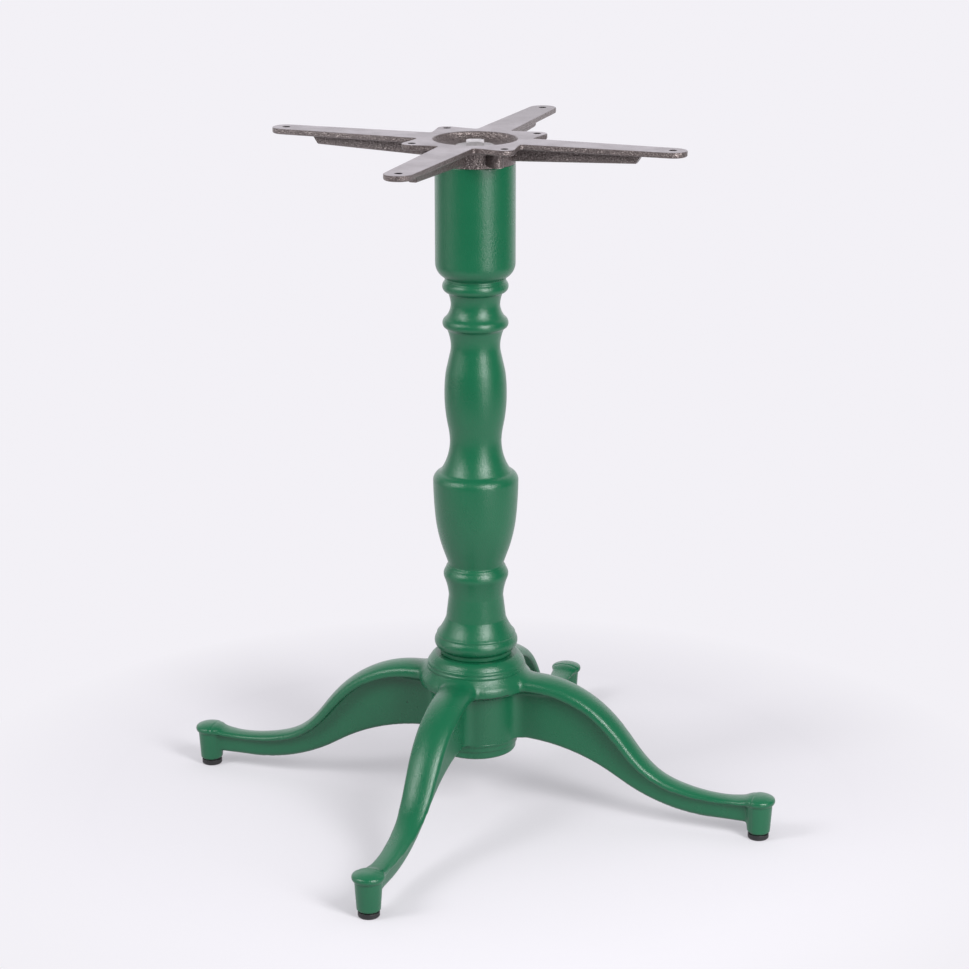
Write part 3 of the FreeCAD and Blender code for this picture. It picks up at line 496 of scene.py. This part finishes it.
def black_pad():
    """Black moulded plastic, dusty low down."""
    material, tree, shader = new_material("black_pad")
    coords = object_coords(tree)
    skin = use_group(tree, SAND_SKIN, Vector=coords, Grain_Scale=900.0)
    low = remap(tree, split_vector(tree, coords)[2], 3.0 * MM, 0.0, 0.0, 0.4)
    dust = product(tree, low, skin["Grain"])
    feed(tree, shader, "Base_Color", blend_colour(tree, dust, PAD_BLACK, PAD_DUST))
    feed(tree, shader, "Roughness", remap(tree, skin["Grain"], 0.0, 1.0, 0.42, 0.6))
    feed(tree, shader, "Normal", bump(tree, skin["Height"], 0.25, 0.0002))
    return material


GREEN = green_powder_coat("green_powder_coat")
GREEN_CASTING = green_powder_coat("green_leg_casting", casting_marks_group())
IRON = bare_iron()
ZINC = worn_steel("zinc_plate", (0.4, 0.385, 0.39, 1), 0.38, 0.9)
BRIGHT = worn_steel("bolt_steel", (0.46, 0.44, 0.45, 1), 0.36, 0.5)
PAD = black_pad()


def dress(node, material):
    """Gives a CAD node its finish."""
    slots = NODES[node].data.materials
    slots.clear()
    slots.append(material)


dress("leg_base", GREEN)
dress("column", GREEN)
dress("top_spider", IRON)
for node in ("tie_bolt", "bottom_nut"):
    dress(node, BRIGHT)
for node in ("top_washer", "bottom_washer"):
    dress(node, ZINC)
for side in SIDES:
    dress("glide_stud_" + side, ZINC)
    dress("glide_pad_" + side, PAD)


# Turned pieces

# Points nearer than this are joined, in metres.
JOIN_REACH = 2e-6
# Steps round the axis of a turned piece.
HUB_AROUND = 192
COLUMN_AROUND = 128
CAP_AROUND = 72
STUD_AROUND = 32
# Shares of the pitch at which a thread's flank leaves its crest and meets its root.
THREAD_CREST = 0.06
THREAD_ROOT = 0.44
# Column's outline in millimetres: its spacing, the reach of the coat's rounding, how far off the
# straight a spot may lie that is left out, and its longest step.
COLUMN_SPACING = 0.35
COLUMN_COAT = 0.9
COLUMN_TOLERANCE = 0.012
COLUMN_LONGEST = 3.5
# Spacing of the other outlines and the reach of the coat on the crown, in millimetres.
CROWN_SPACING = 0.2
CROWN_COAT = 0.45
CROWN_INSIDE_SPACING = 2.0
RINGS_SPACING = 0.25
SKIRT_SPACING = 0.4
CAP_SPACING = 0.5


def arc_points(start, end, bulge, spacing):
    """Spots of a straight or bulged edge from start to end, without its start."""
    start, end = np.array(start), np.array(end)
    across = end - start
    chord = float(np.hypot(*across))
    if not bulge:
        count = max(1, int(round(chord / (3 * spacing))))
        return [start + across * (step + 1) / count for step in range(count)]
    side = np.array((-across[1], across[0])) / chord
    radius = chord * (1 + bulge * bulge) / (4 * bulge)
    centre = (start + end) / 2 + side * (chord * (1 - bulge * bulge) / (4 * bulge))
    sweep = 4 * math.atan(bulge)
    first = math.atan2(*(start - centre)[::-1])
    count = max(3, int(math.ceil(abs(radius * sweep) / spacing)))
    return [
        centre + abs(radius) * np.array((math.cos(a), math.sin(a)))
        for a in (first + sweep * (step + 1) / count for step in range(count))
    ]


def outline_points(corners, spacing):
    """Spots of an outline of (radius, height, bulge) corners."""
    spots = [np.array(corners[0][:2])]
    for before, here in zip(corners, corners[1:]):
        spots += arc_points(before[:2], here[:2], here[2], spacing)
    return np.array(spots)


def soften_profile(spots, reach):
    """Rounds the corners of a line of spots, as paint does, over about the given reach. Gives
    the radii and the heights."""
    steps = np.hypot(*np.diff(spots, axis=0).T)
    along = np.concatenate([[0.0], np.cumsum(steps)])
    even = np.linspace(0.0, along[-1], int(3 * along[-1] / reach))
    kernel = np.exp(-0.5 * (np.arange(-9, 10) / 3.0) ** 2)
    kernel /= kernel.sum()
    lines = []
    for line in spots.T:
        level = np.interp(even, along, line)
        ahead = 2 * level[0] - level[9:0:-1]
        after = 2 * level[-1] - level[-2:-11:-1]
        lines.append(np.convolve(np.concatenate([ahead, level, after]), kernel, mode="valid"))
    return lines


def thin_out(radius, height, tolerance, longest):
    """Leaves out spots that lie within the tolerance of the straight between kept ones."""
    kept = [0]
    index = 1
    while index < len(radius) - 1:
        last = kept[-1]
        dr, dz = radius[index + 1] - radius[last], height[index + 1] - height[last]
        length = math.hypot(dr, dz)
        between = slice(last + 1, index + 1)
        across = (radius[between] - radius[last]) * dz - (height[between] - height[last]) * dr
        off = np.abs(across) / length
        if off.max() > tolerance or length > longest:
            kept.append(index)
        index += 1
    kept.append(len(radius) - 1)
    return np.stack([np.array(radius)[kept], np.array(height)[kept]], -1)


def turning_tree():
    """Turns a closed profile, whose points hold radius and height, into a turned surface. A
    thread is cut between two heights."""
    tree, given, result = node_group(
        "Turning",
        "GeometryNodeTree",
        [
            ("Profile", "INPUT", "NodeSocketGeometry", None),
            ("Steps Round", "INPUT", "NodeSocketInt", 128),
            ("Thread Pitch", "INPUT", "NodeSocketFloat", 0.001),
            ("Thread Depth", "INPUT", "NodeSocketFloat", 0.0),
            ("Thread Foot", "INPUT", "NodeSocketFloat", 0.0),
            ("Thread Top", "INPUT", "NodeSocketFloat", 1.0),
            ("Axis", "INPUT", "NodeSocketVector", None),
            ("Finish", "INPUT", "NodeSocketMaterial", None),
            ("Turned", "OUTPUT", "NodeSocketGeometry", None),
        ],
    )
    profile = given["Profile"]
    size = place(tree, "GeometryNodeAttributeDomainSize", {"component": "MESH"}, Geometry=profile)
    rows = size.outputs["Point Count"]
    around = math_node(tree, "ADD", given["Steps Round"], 1.0)
    grid = place(tree, "GeometryNodeMeshGrid", Size_X=1.0, Size_Y=1.0, Vertices_X=rows, Vertices_Y=around)
    along, about, _ = split_vector(tree, tree.nodes.new("GeometryNodeInputPosition").outputs[0])
    share = math_node(tree, "ADD", along, 0.5)
    row = math_node(tree, "ROUND", product(tree, share, math_node(tree, "SUBTRACT", rows, 1.0)))
    turn = math_node(tree, "ADD", about, 0.5)
    angle = product(tree, turn, 2 * math.pi)
    spot = place(
        tree,
        "GeometryNodeSampleIndex",
        {"data_type": "FLOAT_VECTOR", "domain": "POINT"},
        Geometry=profile,
        Value=tree.nodes.new("GeometryNodeInputPosition").outputs[0],
        Index=row,
    )
    radius, _, height = split_vector(tree, spot.outputs[0])
    phase = math_node(tree, "SUBTRACT", math_node(tree, "DIVIDE", height, given["Thread Pitch"]), turn)
    ridge = math_node(tree, "SUBTRACT", math_node(tree, "FRACT", phase), 0.5)
    cut = remap(tree, math_node(tree, "ABSOLUTE", ridge), THREAD_CREST, THREAD_ROOT)
    above = math_node(tree, "GREATER_THAN", height, given["Thread Foot"])
    below = math_node(tree, "LESS_THAN", height, given["Thread Top"])
    cut = product(tree, cut, above, below, given["Thread Depth"])
    reach = math_node(tree, "MAXIMUM", math_node(tree, "SUBTRACT", radius, cut), 0.0)
    place_at = place(
        tree,
        "ShaderNodeCombineXYZ",
        X=product(tree, reach, math_node(tree, "COSINE", angle)),
        Y=product(tree, reach, math_node(tree, "SINE", angle)),
        Z=height,
    )
    turned = place(
        tree,
        "GeometryNodeSetPosition",
        Geometry=grid.outputs["Mesh"],
        Position=place_at.outputs[0],
        Offset=given["Axis"],
    )
    joined = place(tree, "GeometryNodeMergeByDistance", Geometry=turned.outputs[0], Distance=JOIN_REACH)
    smooth = place(tree, "GeometryNodeSetShadeSmooth", Geometry=joined.outputs[0])
    real = place(tree, "GeometryNodeRealizeInstances", Geometry=smooth.outputs[0])
    finished = place(tree, "GeometryNodeSetMaterial", Geometry=real.outputs[0], Material=given["Finish"])
    tree.links.new(finished.outputs[0], result.inputs["Turned"])
    return tree


TURNING = turning_tree()


def set_input(modifier, label, value):
    """Sets a named input of a Geometry Nodes modifier by its identifier."""
    for item in modifier.node_group.interface.items_tree:
        if item.item_type == "SOCKET" and item.in_out == "INPUT" and item.name == label:
            modifier[item.identifier] = value


def plain_mesh(thing):
    """Turns an object's modifiers into its mesh."""
    graph = bpy.context.evaluated_depsgraph_get()
    mesh = bpy.data.meshes.new_from_object(thing.evaluated_get(graph))
    thing.modifiers.clear()
    thing.data = mesh
    return mesh


def face_outwards(mesh):
    """Joins the points that meet and turns all faces outwards."""
    form = bmesh.new()
    form.from_mesh(mesh)
    bmesh.ops.remove_doubles(form, verts=form.verts, dist=JOIN_REACH)
    bmesh.ops.recalc_face_normals(form, faces=form.faces)
    form.to_mesh(mesh)
    form.free()


def turned_piece(name, spots, finish, steps_round, **settings):
    """A piece turned from closed spots of (radius, height) in millimetres. Further settings are
    inputs of the turning, in metres."""
    mesh = bpy.data.meshes.new(name)
    mesh.from_pydata([(radius * MM, 0.0, height * MM) for radius, height in spots], [], [])
    piece = bpy.data.objects.new(name, mesh)
    bpy.context.collection.objects.link(piece)
    modifier = piece.modifiers.new("turning", "NODES")
    modifier.node_group = TURNING
    set_input(modifier, "Steps Round", steps_round)
    set_input(modifier, "Finish", finish)
    for label, value in settings.items():
        set_input(modifier, label.replace("_", " "), value)
    face_outwards(plain_mesh(piece))
    return piece


def column_piece():
    """The turned column, its edges softened by the coat, and its cored inside."""
    corners = [(COLUMN_SPIGOT, SPIGOT_FOOT, 0), (COLUMN_SPIGOT, HUB_TOP, 0), (COLUMN_FOOT, HUB_TOP, 0)]
    core = []
    level = HUB_TOP
    for rise, radius, bulge in COLUMN_STEPS:
        level += rise
        corners.append((radius, level, bulge))
        core.append((min(radius - COLUMN_WALL, WIDEST_CORE), level))
    corners.append((COLUMN_SOCKET, level, 0))
    radius, height = soften_profile(outline_points(corners, COLUMN_SPACING), COLUMN_COAT)
    outer = thin_out(radius, height, COLUMN_TOLERANCE, COLUMN_LONGEST)
    socket_foot = (COLUMN_SOCKET, level - COLUMN_SOCKET_DEPTH)
    every_fourth = core[-2::-4]
    spigot_foot = (COLUMN_SPIGOT - SPIGOT_WALL, SPIGOT_FOOT)
    spots = [*outer, socket_foot, *every_fourth, spigot_foot, outer[0]]
    piece = turned_piece("column_turned", spots, GREEN, COLUMN_AROUND)
    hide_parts("column")
    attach(piece, "frame")


# Leg casting

CASTING_GRAIN = 1.25 * MM
SOFTENING_PASSES = 130
EVENING_PASSES = 3
EVENING_SHARE = 0.6
LEVELLING_SHARE = 0.3
MOST_TRIANGLES = 185000
LEAST_FILL = 0.03
FOOT_FILL = 0.5
LEAST_WEAR = 0.01
EDGE_WEAR = 0.06

# Where corners are filled and edges worn, in millimetres: spans of reach from the column's axis
# and of height over which that sets in or ends.
ROOT_END = (72.0, 95.0)
ROOT_HEIGHT = (130.0, 135.0)
CAP_REACH = (280.0, 292.0)
CAP_HEIGHT = (37.5, 39.5)
EDGE_START = (150.0, 190.0)
EDGE_END = (280.0, 290.0)
EDGE_HEIGHT = 60.0
EDGE_ASIDE = 3.0

# Where turned pieces stand over the casting, and how far it draws in there, in millimetres. The
# span of a cap is measured outwards from the foot's axis.
CROWN_REACH = 52.6
CROWN_FOOT = 155.2
CROWN_SHOULDER = 158.5
RINGS_INSIDE = 37.5
RINGS_OUTSIDE = 47.0
RINGS_TOP = 78.0
CAP_INSIDE = 6.0
CAP_OUTSIDE = 19.0
CAP_SIDE = 42.0
CAP_SPAN = (-9.0, -2.0)
UNDER_TURNING = 1.4
UNDER_CROWN = 1.2
UNDER_CAP = 0.6

# Where a turned foot goes under the casting, and how far, in millimetres. The span is measured
# outwards from the foot's axis.
LEG_SPAN = (-9.0, -3.0)
AXIS_CLEAR = 5.0
LIP_HEIGHT = 37.0
UNDER_LEG = 1.0


def finish_modifier(piece, kind, **settings):
    """Adds a modifier with its settings and makes it part of the mesh."""
    modifier = piece.modifiers.new("finish", kind)
    for label, value in settings.items():
        setattr(modifier, label, value)
    plain_mesh(piece)


def even_form(name, node, added, grain):
    """A node's shape and an added piece, as one piece with an even mesh of faces about the
    grain wide. The added piece is used up."""
    mesh = bpy.data.meshes.new(name)
    form = bmesh.new()
    form.from_mesh(NODES[node].data)
    bmesh.ops.remove_doubles(form, verts=form.verts, dist=1e-6)
    form.from_mesh(added.data)
    form.to_mesh(mesh)
    form.free()
    bpy.data.objects.remove(added)
    piece = bpy.data.objects.new(name, mesh)
    bpy.context.collection.objects.link(piece)
    finish_modifier(piece, "REMESH", mode="VOXEL", voxel_size=grain)
    return piece


def mesh_spots(mesh):
    """Places of a mesh's vertices, one to a row."""
    spots = np.empty(len(mesh.vertices) * 3)
    mesh.vertices.foreach_get("co", spots)
    return spots.reshape(-1, 3)


def tally(index, amounts, count):
    """Sum of the amounts that fall to each vertex."""
    return np.stack([np.bincount(index, amounts[:, axis], count) for axis in range(3)], -1)


def soften_casting(mesh, passes, fill, wear):
    """Evens out the mesh, then fills hollow corners by the share that fill gives each vertex, as
    paint and a foundry's fillets do, and wears proud edges by the share that wear gives."""
    spots = mesh_spots(mesh)
    count = len(spots)
    edges = np.empty(len(mesh.edges) * 2, dtype=int)
    mesh.edges.foreach_get("vertices", edges)
    first, second = edges.reshape(-1, 2).T
    degree = np.bincount(np.concatenate([first, second]), minlength=count)[:, None]
    corners = np.empty(len(mesh.loops), dtype=int)
    mesh.loops.foreach_get("vertex_index", corners)
    a, b, c, d = corners.reshape(-1, 4).T
    for turn in range(passes):
        facing = np.cross(spots[c] - spots[a], spots[d] - spots[b])
        normals = sum(tally(corner, facing, count) for corner in (a, b, c, d))
        normals /= np.linalg.norm(normals, axis=1, keepdims=True) + 1e-12
        middle = (tally(first, spots[second], count) + tally(second, spots[first], count)) / degree
        shift = middle - spots
        rise = np.sum(shift * normals, axis=1, keepdims=True)
        level = shift - rise * normals
        share = EVENING_SHARE if turn < EVENING_PASSES else np.where(rise > 0, fill, wear)
        spots = spots + LEVELLING_SHARE * level + normals * rise * share
    mesh.vertices.foreach_set("co", spots.ravel())
    mesh.update()


def ramp(value, low, high):
    """0 below low and 1 above high, smooth between."""
    share = np.clip((value - low) / (high - low), 0.0, 1.0)
    return share * share * (3 - 2 * share)


def softening_shares(spots):
    """How far the hollow corners are filled and the proud edges worn at each spot, which is in
    millimetres: filled where the legs meet the skirt and the caps, worn along the low edges."""
    reach = np.abs(spots[:, :2]).max(axis=1)
    across = np.abs(spots[:, :2]).min(axis=1)
    height = spots[:, 2]
    at_root = (1 - ramp(reach, *ROOT_END)) * ramp(height, *ROOT_HEIGHT)
    at_foot = ramp(reach, *CAP_REACH) * ramp(height, *CAP_HEIGHT)
    fill = LEAST_FILL + (1 - LEAST_FILL) * np.maximum(at_root, FOOT_FILL * at_foot)
    along_leg = ramp(reach, *EDGE_START) * (1 - ramp(reach, *EDGE_END))
    wear = LEAST_WEAR + EDGE_WEAR * along_leg * (height < EDGE_HEIGHT) * (across > EDGE_ASIDE)
    return fill[:, None], wear[:, None]


def draw_in(spots):
    """Takes the casting in where turned pieces stand over it: the crown, the rings at the
    barrel's foot, and the outer half of each foot."""
    ring_reach = np.hypot(spots[:, 0], spots[:, 1]) / MM
    height = spots[:, 2] / MM
    under_crown = (height > CROWN_FOOT) & (ring_reach < CROWN_REACH)
    at_rings = (ring_reach > RINGS_INSIDE) & (ring_reach < RINGS_OUTSIDE)
    inwards = UNDER_TURNING * (under_crown | (at_rings & (height < RINGS_TOP)))
    spots[:, :2] *= (1 - inwards / np.maximum(ring_reach, 1.0))[:, None]
    spots[under_crown & (height > CROWN_SHOULDER), 2] -= UNDER_CROWN * MM
    for out_x, out_y in SIDES.values():
        outward = np.array((out_x, out_y))
        off = spots[:, :2] - outward * FOOT_REACH
        away = np.hypot(*off.T)
        outer_half = ramp(off @ outward / MM, *CAP_SPAN)
        share = outer_half * ((away < CAP_OUTSIDE * MM) & (away > CAP_INSIDE * MM))
        spots[:, :2] -= off * (share * UNDER_CAP * MM / np.maximum(away, MM))[:, None]
        spots[:, 2] -= UNDER_CAP * MM * share * (height > CAP_SIDE)


def leg_casting():
    """Hub and legs with the soft hollow corners of a coated casting."""
    skirt = turned_piece("skirt_blank", outline_points(HUB_SKIRT, SKIRT_SPACING), GREEN, HUB_AROUND)
    piece = even_form("leg_casting", "leg_base", skirt, CASTING_GRAIN)
    mesh = piece.data
    fill, wear = softening_shares(mesh_spots(mesh) / MM)
    soften_casting(mesh, SOFTENING_PASSES, fill, wear)
    spots = mesh_spots(mesh)
    draw_in(spots)
    mesh.vertices.foreach_set("co", spots.ravel())
    finish_modifier(piece, "DECIMATE", ratio=min(1.0, MOST_TRIANGLES / (2 * len(mesh.polygons))))
    mesh = piece.data
    mesh.polygons.foreach_set("use_smooth", np.ones(len(mesh.polygons), dtype=bool))
    mesh.materials.clear()
    mesh.materials.append(GREEN_CASTING)
    mesh.update()
    return piece


def sink_under_leg(mesh, axis, outward):
    """Takes a turned foot in on the side of its leg, under the leg casting."""
    spots = mesh_spots(mesh)
    off = (spots - axis) * (1, 1, 0)
    away = np.linalg.norm(off, axis=1)
    inner_half = 1 - ramp(off @ outward / MM, *LEG_SPAN)
    sunk = UNDER_LEG * MM * inner_half * (away > AXIS_CLEAR * MM)
    spots -= off * (sunk / np.maximum(away, MM))[:, None]
    spots[:, 2] -= sunk * (spots[:, 2] > LIP_HEIGHT * MM)
    mesh.vertices.foreach_set("co", spots.ravel())
    mesh.update()


def hub_crown():
    """The rings and the dome on top of the hub."""
    crown = np.stack(soften_profile(outline_points(HUB_CROWN, CROWN_SPACING), CROWN_COAT), -1)
    inside = [(*crown[-1], 0)] + CROWN_INSIDE + [(*crown[0], 0)]
    inside = outline_points(inside, CROWN_INSIDE_SPACING)
    return turned_piece("hub_crown", [*crown, *inside[1:]], GREEN, HUB_AROUND)


def foot_turning(side, out_x, out_y):
    """Boss and cap of a foot."""
    axis = (out_x * FOOT_REACH, out_y * FOOT_REACH, 0.0)
    spots = outline_points(FOOT_TURNING, CAP_SPACING)
    foot = turned_piece("foot_turning_" + side, spots, GREEN, CAP_AROUND, Axis=axis)
    sink_under_leg(foot.data, np.array(axis), np.array((out_x, out_y, 0.0)))
    return foot


def hub_pieces():
    """The leg casting, and the fine forms that are turned on its hub and feet."""
    pieces = [leg_casting(), hub_crown()]
    rings = outline_points(HUB_FOOT, RINGS_SPACING)
    pieces.append(turned_piece("hub_foot_rings", rings, GREEN, HUB_AROUND))
    pieces += [foot_turning(side, *out) for side, out in SIDES.items()]
    for piece in pieces:
        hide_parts("leg_base")
        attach(piece, "frame")


def threaded_studs():
    """Studs of the levelling glides, with their thread."""
    corners = [
        (0.0, STUD_FOOT, 0),
        (STUD_RADIUS, STUD_FOOT, 0),
        (STUD_RADIUS, STUD_TOP - STUD_POINT, 0),
        (STUD_RADIUS - STUD_POINT, STUD_TOP, 0),
        (0.0, STUD_TOP, 0),
        (0.0, STUD_FOOT, 0),
    ]
    spots = outline_points(corners, THREAD_PITCH / 24)
    for side, (out_x, out_y) in SIDES.items():
        piece = turned_piece(
            "threaded_stud_" + side,
            spots,
            ZINC,
            STUD_AROUND,
            Axis=(out_x * FOOT_REACH, out_y * FOOT_REACH, 0.0),
            Thread_Pitch=THREAD_PITCH * MM,
            Thread_Depth=THREAD_DEPTH * MM,
            Thread_Foot=(STUD_FOOT + STUD_PLAIN) * MM,
            Thread_Top=(STUD_TOP - STUD_POINT) * MM,
        )
        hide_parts("glide_stud_" + side)
        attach(piece, "glide_" + side)


column_piece()
hub_pieces()
threaded_studs()


# Studio

# The photograph's camera: its angles, its distance from the aim, where the aim lies above the
# floor and beside the column's axis, and its focal length and picture width in pixels.
CAMERA_AZIMUTH = math.radians(19.59)
CAMERA_ELEVATION = math.radians(16.59)
CAMERA_ROLL = math.radians(-0.0628)
CAMERA_DISTANCE = 3004.1 * MM
AIM_HEIGHT = 354.75 * MM
AIM_ASIDE = 9.122 * MM
SENSOR_WIDTH = 36.0
FOCAL_PIXELS = 2868.73
PICTURE_PIXELS = 969
FARTHEST_SEEN = 60.0

# Paper sheet: its colours, its ends and half width in metres, the reach from the object over
# which it turns evenly lit, and how much of that is left close by.
PAPER_WHITE = (0.895, 0.878, 0.922, 1)
SHEET_SEEN = (0.55, 0.541, 0.566, 1)
SHEET_UNSEEN = (0.5, 0.49, 0.515, 1)
SHEET_FRONT = 1.05
SHEET_BACK = 11.0
SHEET_HALF = 1.5
GLOW_SPAN = (0.33, 0.6)
LEAST_GLOW = 0.3
# Cosines to the view over which the wall behind the object sets in.
WALL_SPAN = (0.25, 0.8)
# Height that the lamps aim at, in metres.
LAMP_AIM = 0.45


def paper(share):
    """The paper's colour at a share of its brightness."""
    return tuple(share * channel for channel in PAPER_WHITE[:3]) + (1,)


def towards_camera():
    """Level direction from the object to the camera."""
    return Vector((math.sin(CAMERA_AZIMUTH), -math.cos(CAMERA_AZIMUTH), 0))


def sheet_mesh():
    """A level sheet that reaches far back from the camera."""
    forward = towards_camera()
    side = Vector((-forward.y, forward.x, 0))
    ends = (
        (SHEET_HALF, -SHEET_BACK),
        (-SHEET_HALF, -SHEET_BACK),
        (-SHEET_HALF, SHEET_FRONT),
        (SHEET_HALF, SHEET_FRONT),
    )
    mesh = bpy.data.meshes.new("studio_floor")
    mesh.from_pydata([side * across + forward * along for across, along in ends], [], [(0, 1, 2, 3)])
    return mesh


def studio_floor():
    """Sheet of pale paper under the object. Away from it, the camera sees the paper evenly lit,
    and from beneath it sees through the paper."""
    mesh = sheet_mesh()
    floor = bpy.data.objects.new("studio_floor", mesh)
    bpy.context.collection.objects.link(floor)
    material, tree, shader = new_material("studio_paper")
    shader.inputs["Roughness"].default_value = 0.9
    shader.inputs["Specular IOR Level"].default_value = 0.0
    rays = place(tree, "ShaderNodeLightPath").outputs
    by_camera = rays["Is Camera Ray"]
    feed(tree, shader, "Base_Color", blend_colour(tree, by_camera, SHEET_UNSEEN, SHEET_SEEN))
    glow = place(tree, "ShaderNodeEmission", Color=PAPER_WHITE, Strength=1.0)
    away = remap(tree, distance_between(tree, object_coords(tree), (0.0, 0.0, 0.0)), *GLOW_SPAN)
    seen = math_node(tree, "MAXIMUM", by_camera, rays["Is Glossy Ray"])
    share = product(tree, math_node(tree, "MAXIMUM", away, LEAST_GLOW), seen)
    mixed = place(tree, "ShaderNodeMixShader", _0=share, _1=shader.outputs[0], _2=glow.outputs[0])
    underside = place(tree, "ShaderNodeNewGeometry").outputs["Backfacing"]
    beneath = product(tree, underside, by_camera)
    clear = place(tree, "ShaderNodeBsdfTransparent")
    opened = place(tree, "ShaderNodeMixShader", _0=beneath, _1=mixed.outputs[0], _2=clear.outputs[0])
    sheet = next(node for node in tree.nodes if node.type == "OUTPUT_MATERIAL")
    tree.links.new(opened.outputs[0], sheet.inputs["Surface"])
    material.cycles.emission_sampling = "NONE"
    mesh.materials.append(material)


def softbox(name, azimuth, height, distance, size, power):
    """Area lamp round the object, azimuth in degrees to the right of the camera's own."""
    lamp = bpy.data.lights.new(name, "AREA")
    lamp.shape = "RECTANGLE"
    lamp.size, lamp.size_y = size
    lamp.energy = power
    stand = bpy.data.objects.new(name, lamp)
    bpy.context.collection.objects.link(stand)
    turned = CAMERA_AZIMUTH + math.radians(azimuth)
    stand.location = (distance * math.sin(turned), -distance * math.cos(turned), height)
    stand.rotation_mode = "QUATERNION"
    stand.rotation_quaternion = (Vector((0, 0, LAMP_AIM)) - stand.location).to_track_quat("-Z", "Y")


def studio_world(low, high, room, wall):
    """White to the camera, on matt surfaces a soft light that is stronger from above, and in
    reflections a dark room on the camera's side with a pale wall behind the object."""
    world = bpy.data.worlds.new("studio_world")
    bpy.context.scene.world = world
    world.use_nodes = True
    tree = world.node_tree
    background = tree.nodes["Background"]
    background.inputs["Strength"].default_value = 1.0
    world.cycles.sampling_method = "NONE"
    rays = place(tree, "ShaderNodeLightPath").outputs
    outwards = place(tree, "ShaderNodeTexCoord").outputs["Generated"]
    from_camera = tuple(-towards_camera())
    settings = {"operation": "DOT_PRODUCT"}
    facing = place(tree, "ShaderNodeVectorMath", settings, _0=outwards, _1=from_camera)
    behind = remap(tree, facing.outputs["Value"], *WALL_SPAN)
    upward = remap(tree, split_vector(tree, outwards)[2], 0.0, 1.0)
    matt = blend_colour(tree, upward, paper(low), paper(high))
    mirrored = blend_colour(tree, behind, paper(room), paper(wall))
    colour = blend_colour(tree, rays["Is Glossy Ray"], matt, mirrored)
    colour = blend_colour(tree, rays["Is Camera Ray"], colour, PAPER_WHITE)
    tree.links.new(colour, background.inputs["Color"])


def photo_camera():
    """The photograph's camera."""
    level = math.cos(CAMERA_ELEVATION)
    back = towards_camera() * level + Vector((0, 0, math.sin(CAMERA_ELEVATION)))
    right = Vector((math.cos(CAMERA_AZIMUTH), math.sin(CAMERA_AZIMUTH), 0))
    up = back.cross(right)
    side = right * math.cos(CAMERA_ROLL) + up * math.sin(CAMERA_ROLL)
    top = up * math.cos(CAMERA_ROLL) - right * math.sin(CAMERA_ROLL)
    lens = bpy.data.cameras.new("camera")
    lens.sensor_width = SENSOR_WIDTH
    lens.lens = SENSOR_WIDTH * FOCAL_PIXELS / PICTURE_PIXELS
    lens.clip_end = FARTHEST_SEEN
    camera = bpy.data.objects.new("camera", lens)
    bpy.context.collection.objects.link(camera)
    matrix = Matrix((side, top, back)).transposed().to_4x4()
    matrix.translation = Vector((0, 0, AIM_HEIGHT)) + right * AIM_ASIDE + back * CAMERA_DISTANCE
    camera.matrix_world = matrix
    bpy.context.scene.camera = camera


studio_floor()
studio_world(low=0.42, high=1.0, room=0.012, wall=1.5)
softbox("key_softbox", azimuth=36, height=0.75, distance=1.8, size=(0.55, 1.4), power=17)
softbox("high_softbox", azimuth=37, height=1.95, distance=2.3, size=(0.7, 1.4), power=57)
softbox("side_softbox", azimuth=-81, height=1.0, distance=2.0, size=(1.3, 1.9), power=11)
softbox("front_softbox", azimuth=-60, height=2.0, distance=2.3, size=(0.7, 1.3), power=36)
photo_camera()
bpy.context.scene.view_settings.view_transform = "Standard"
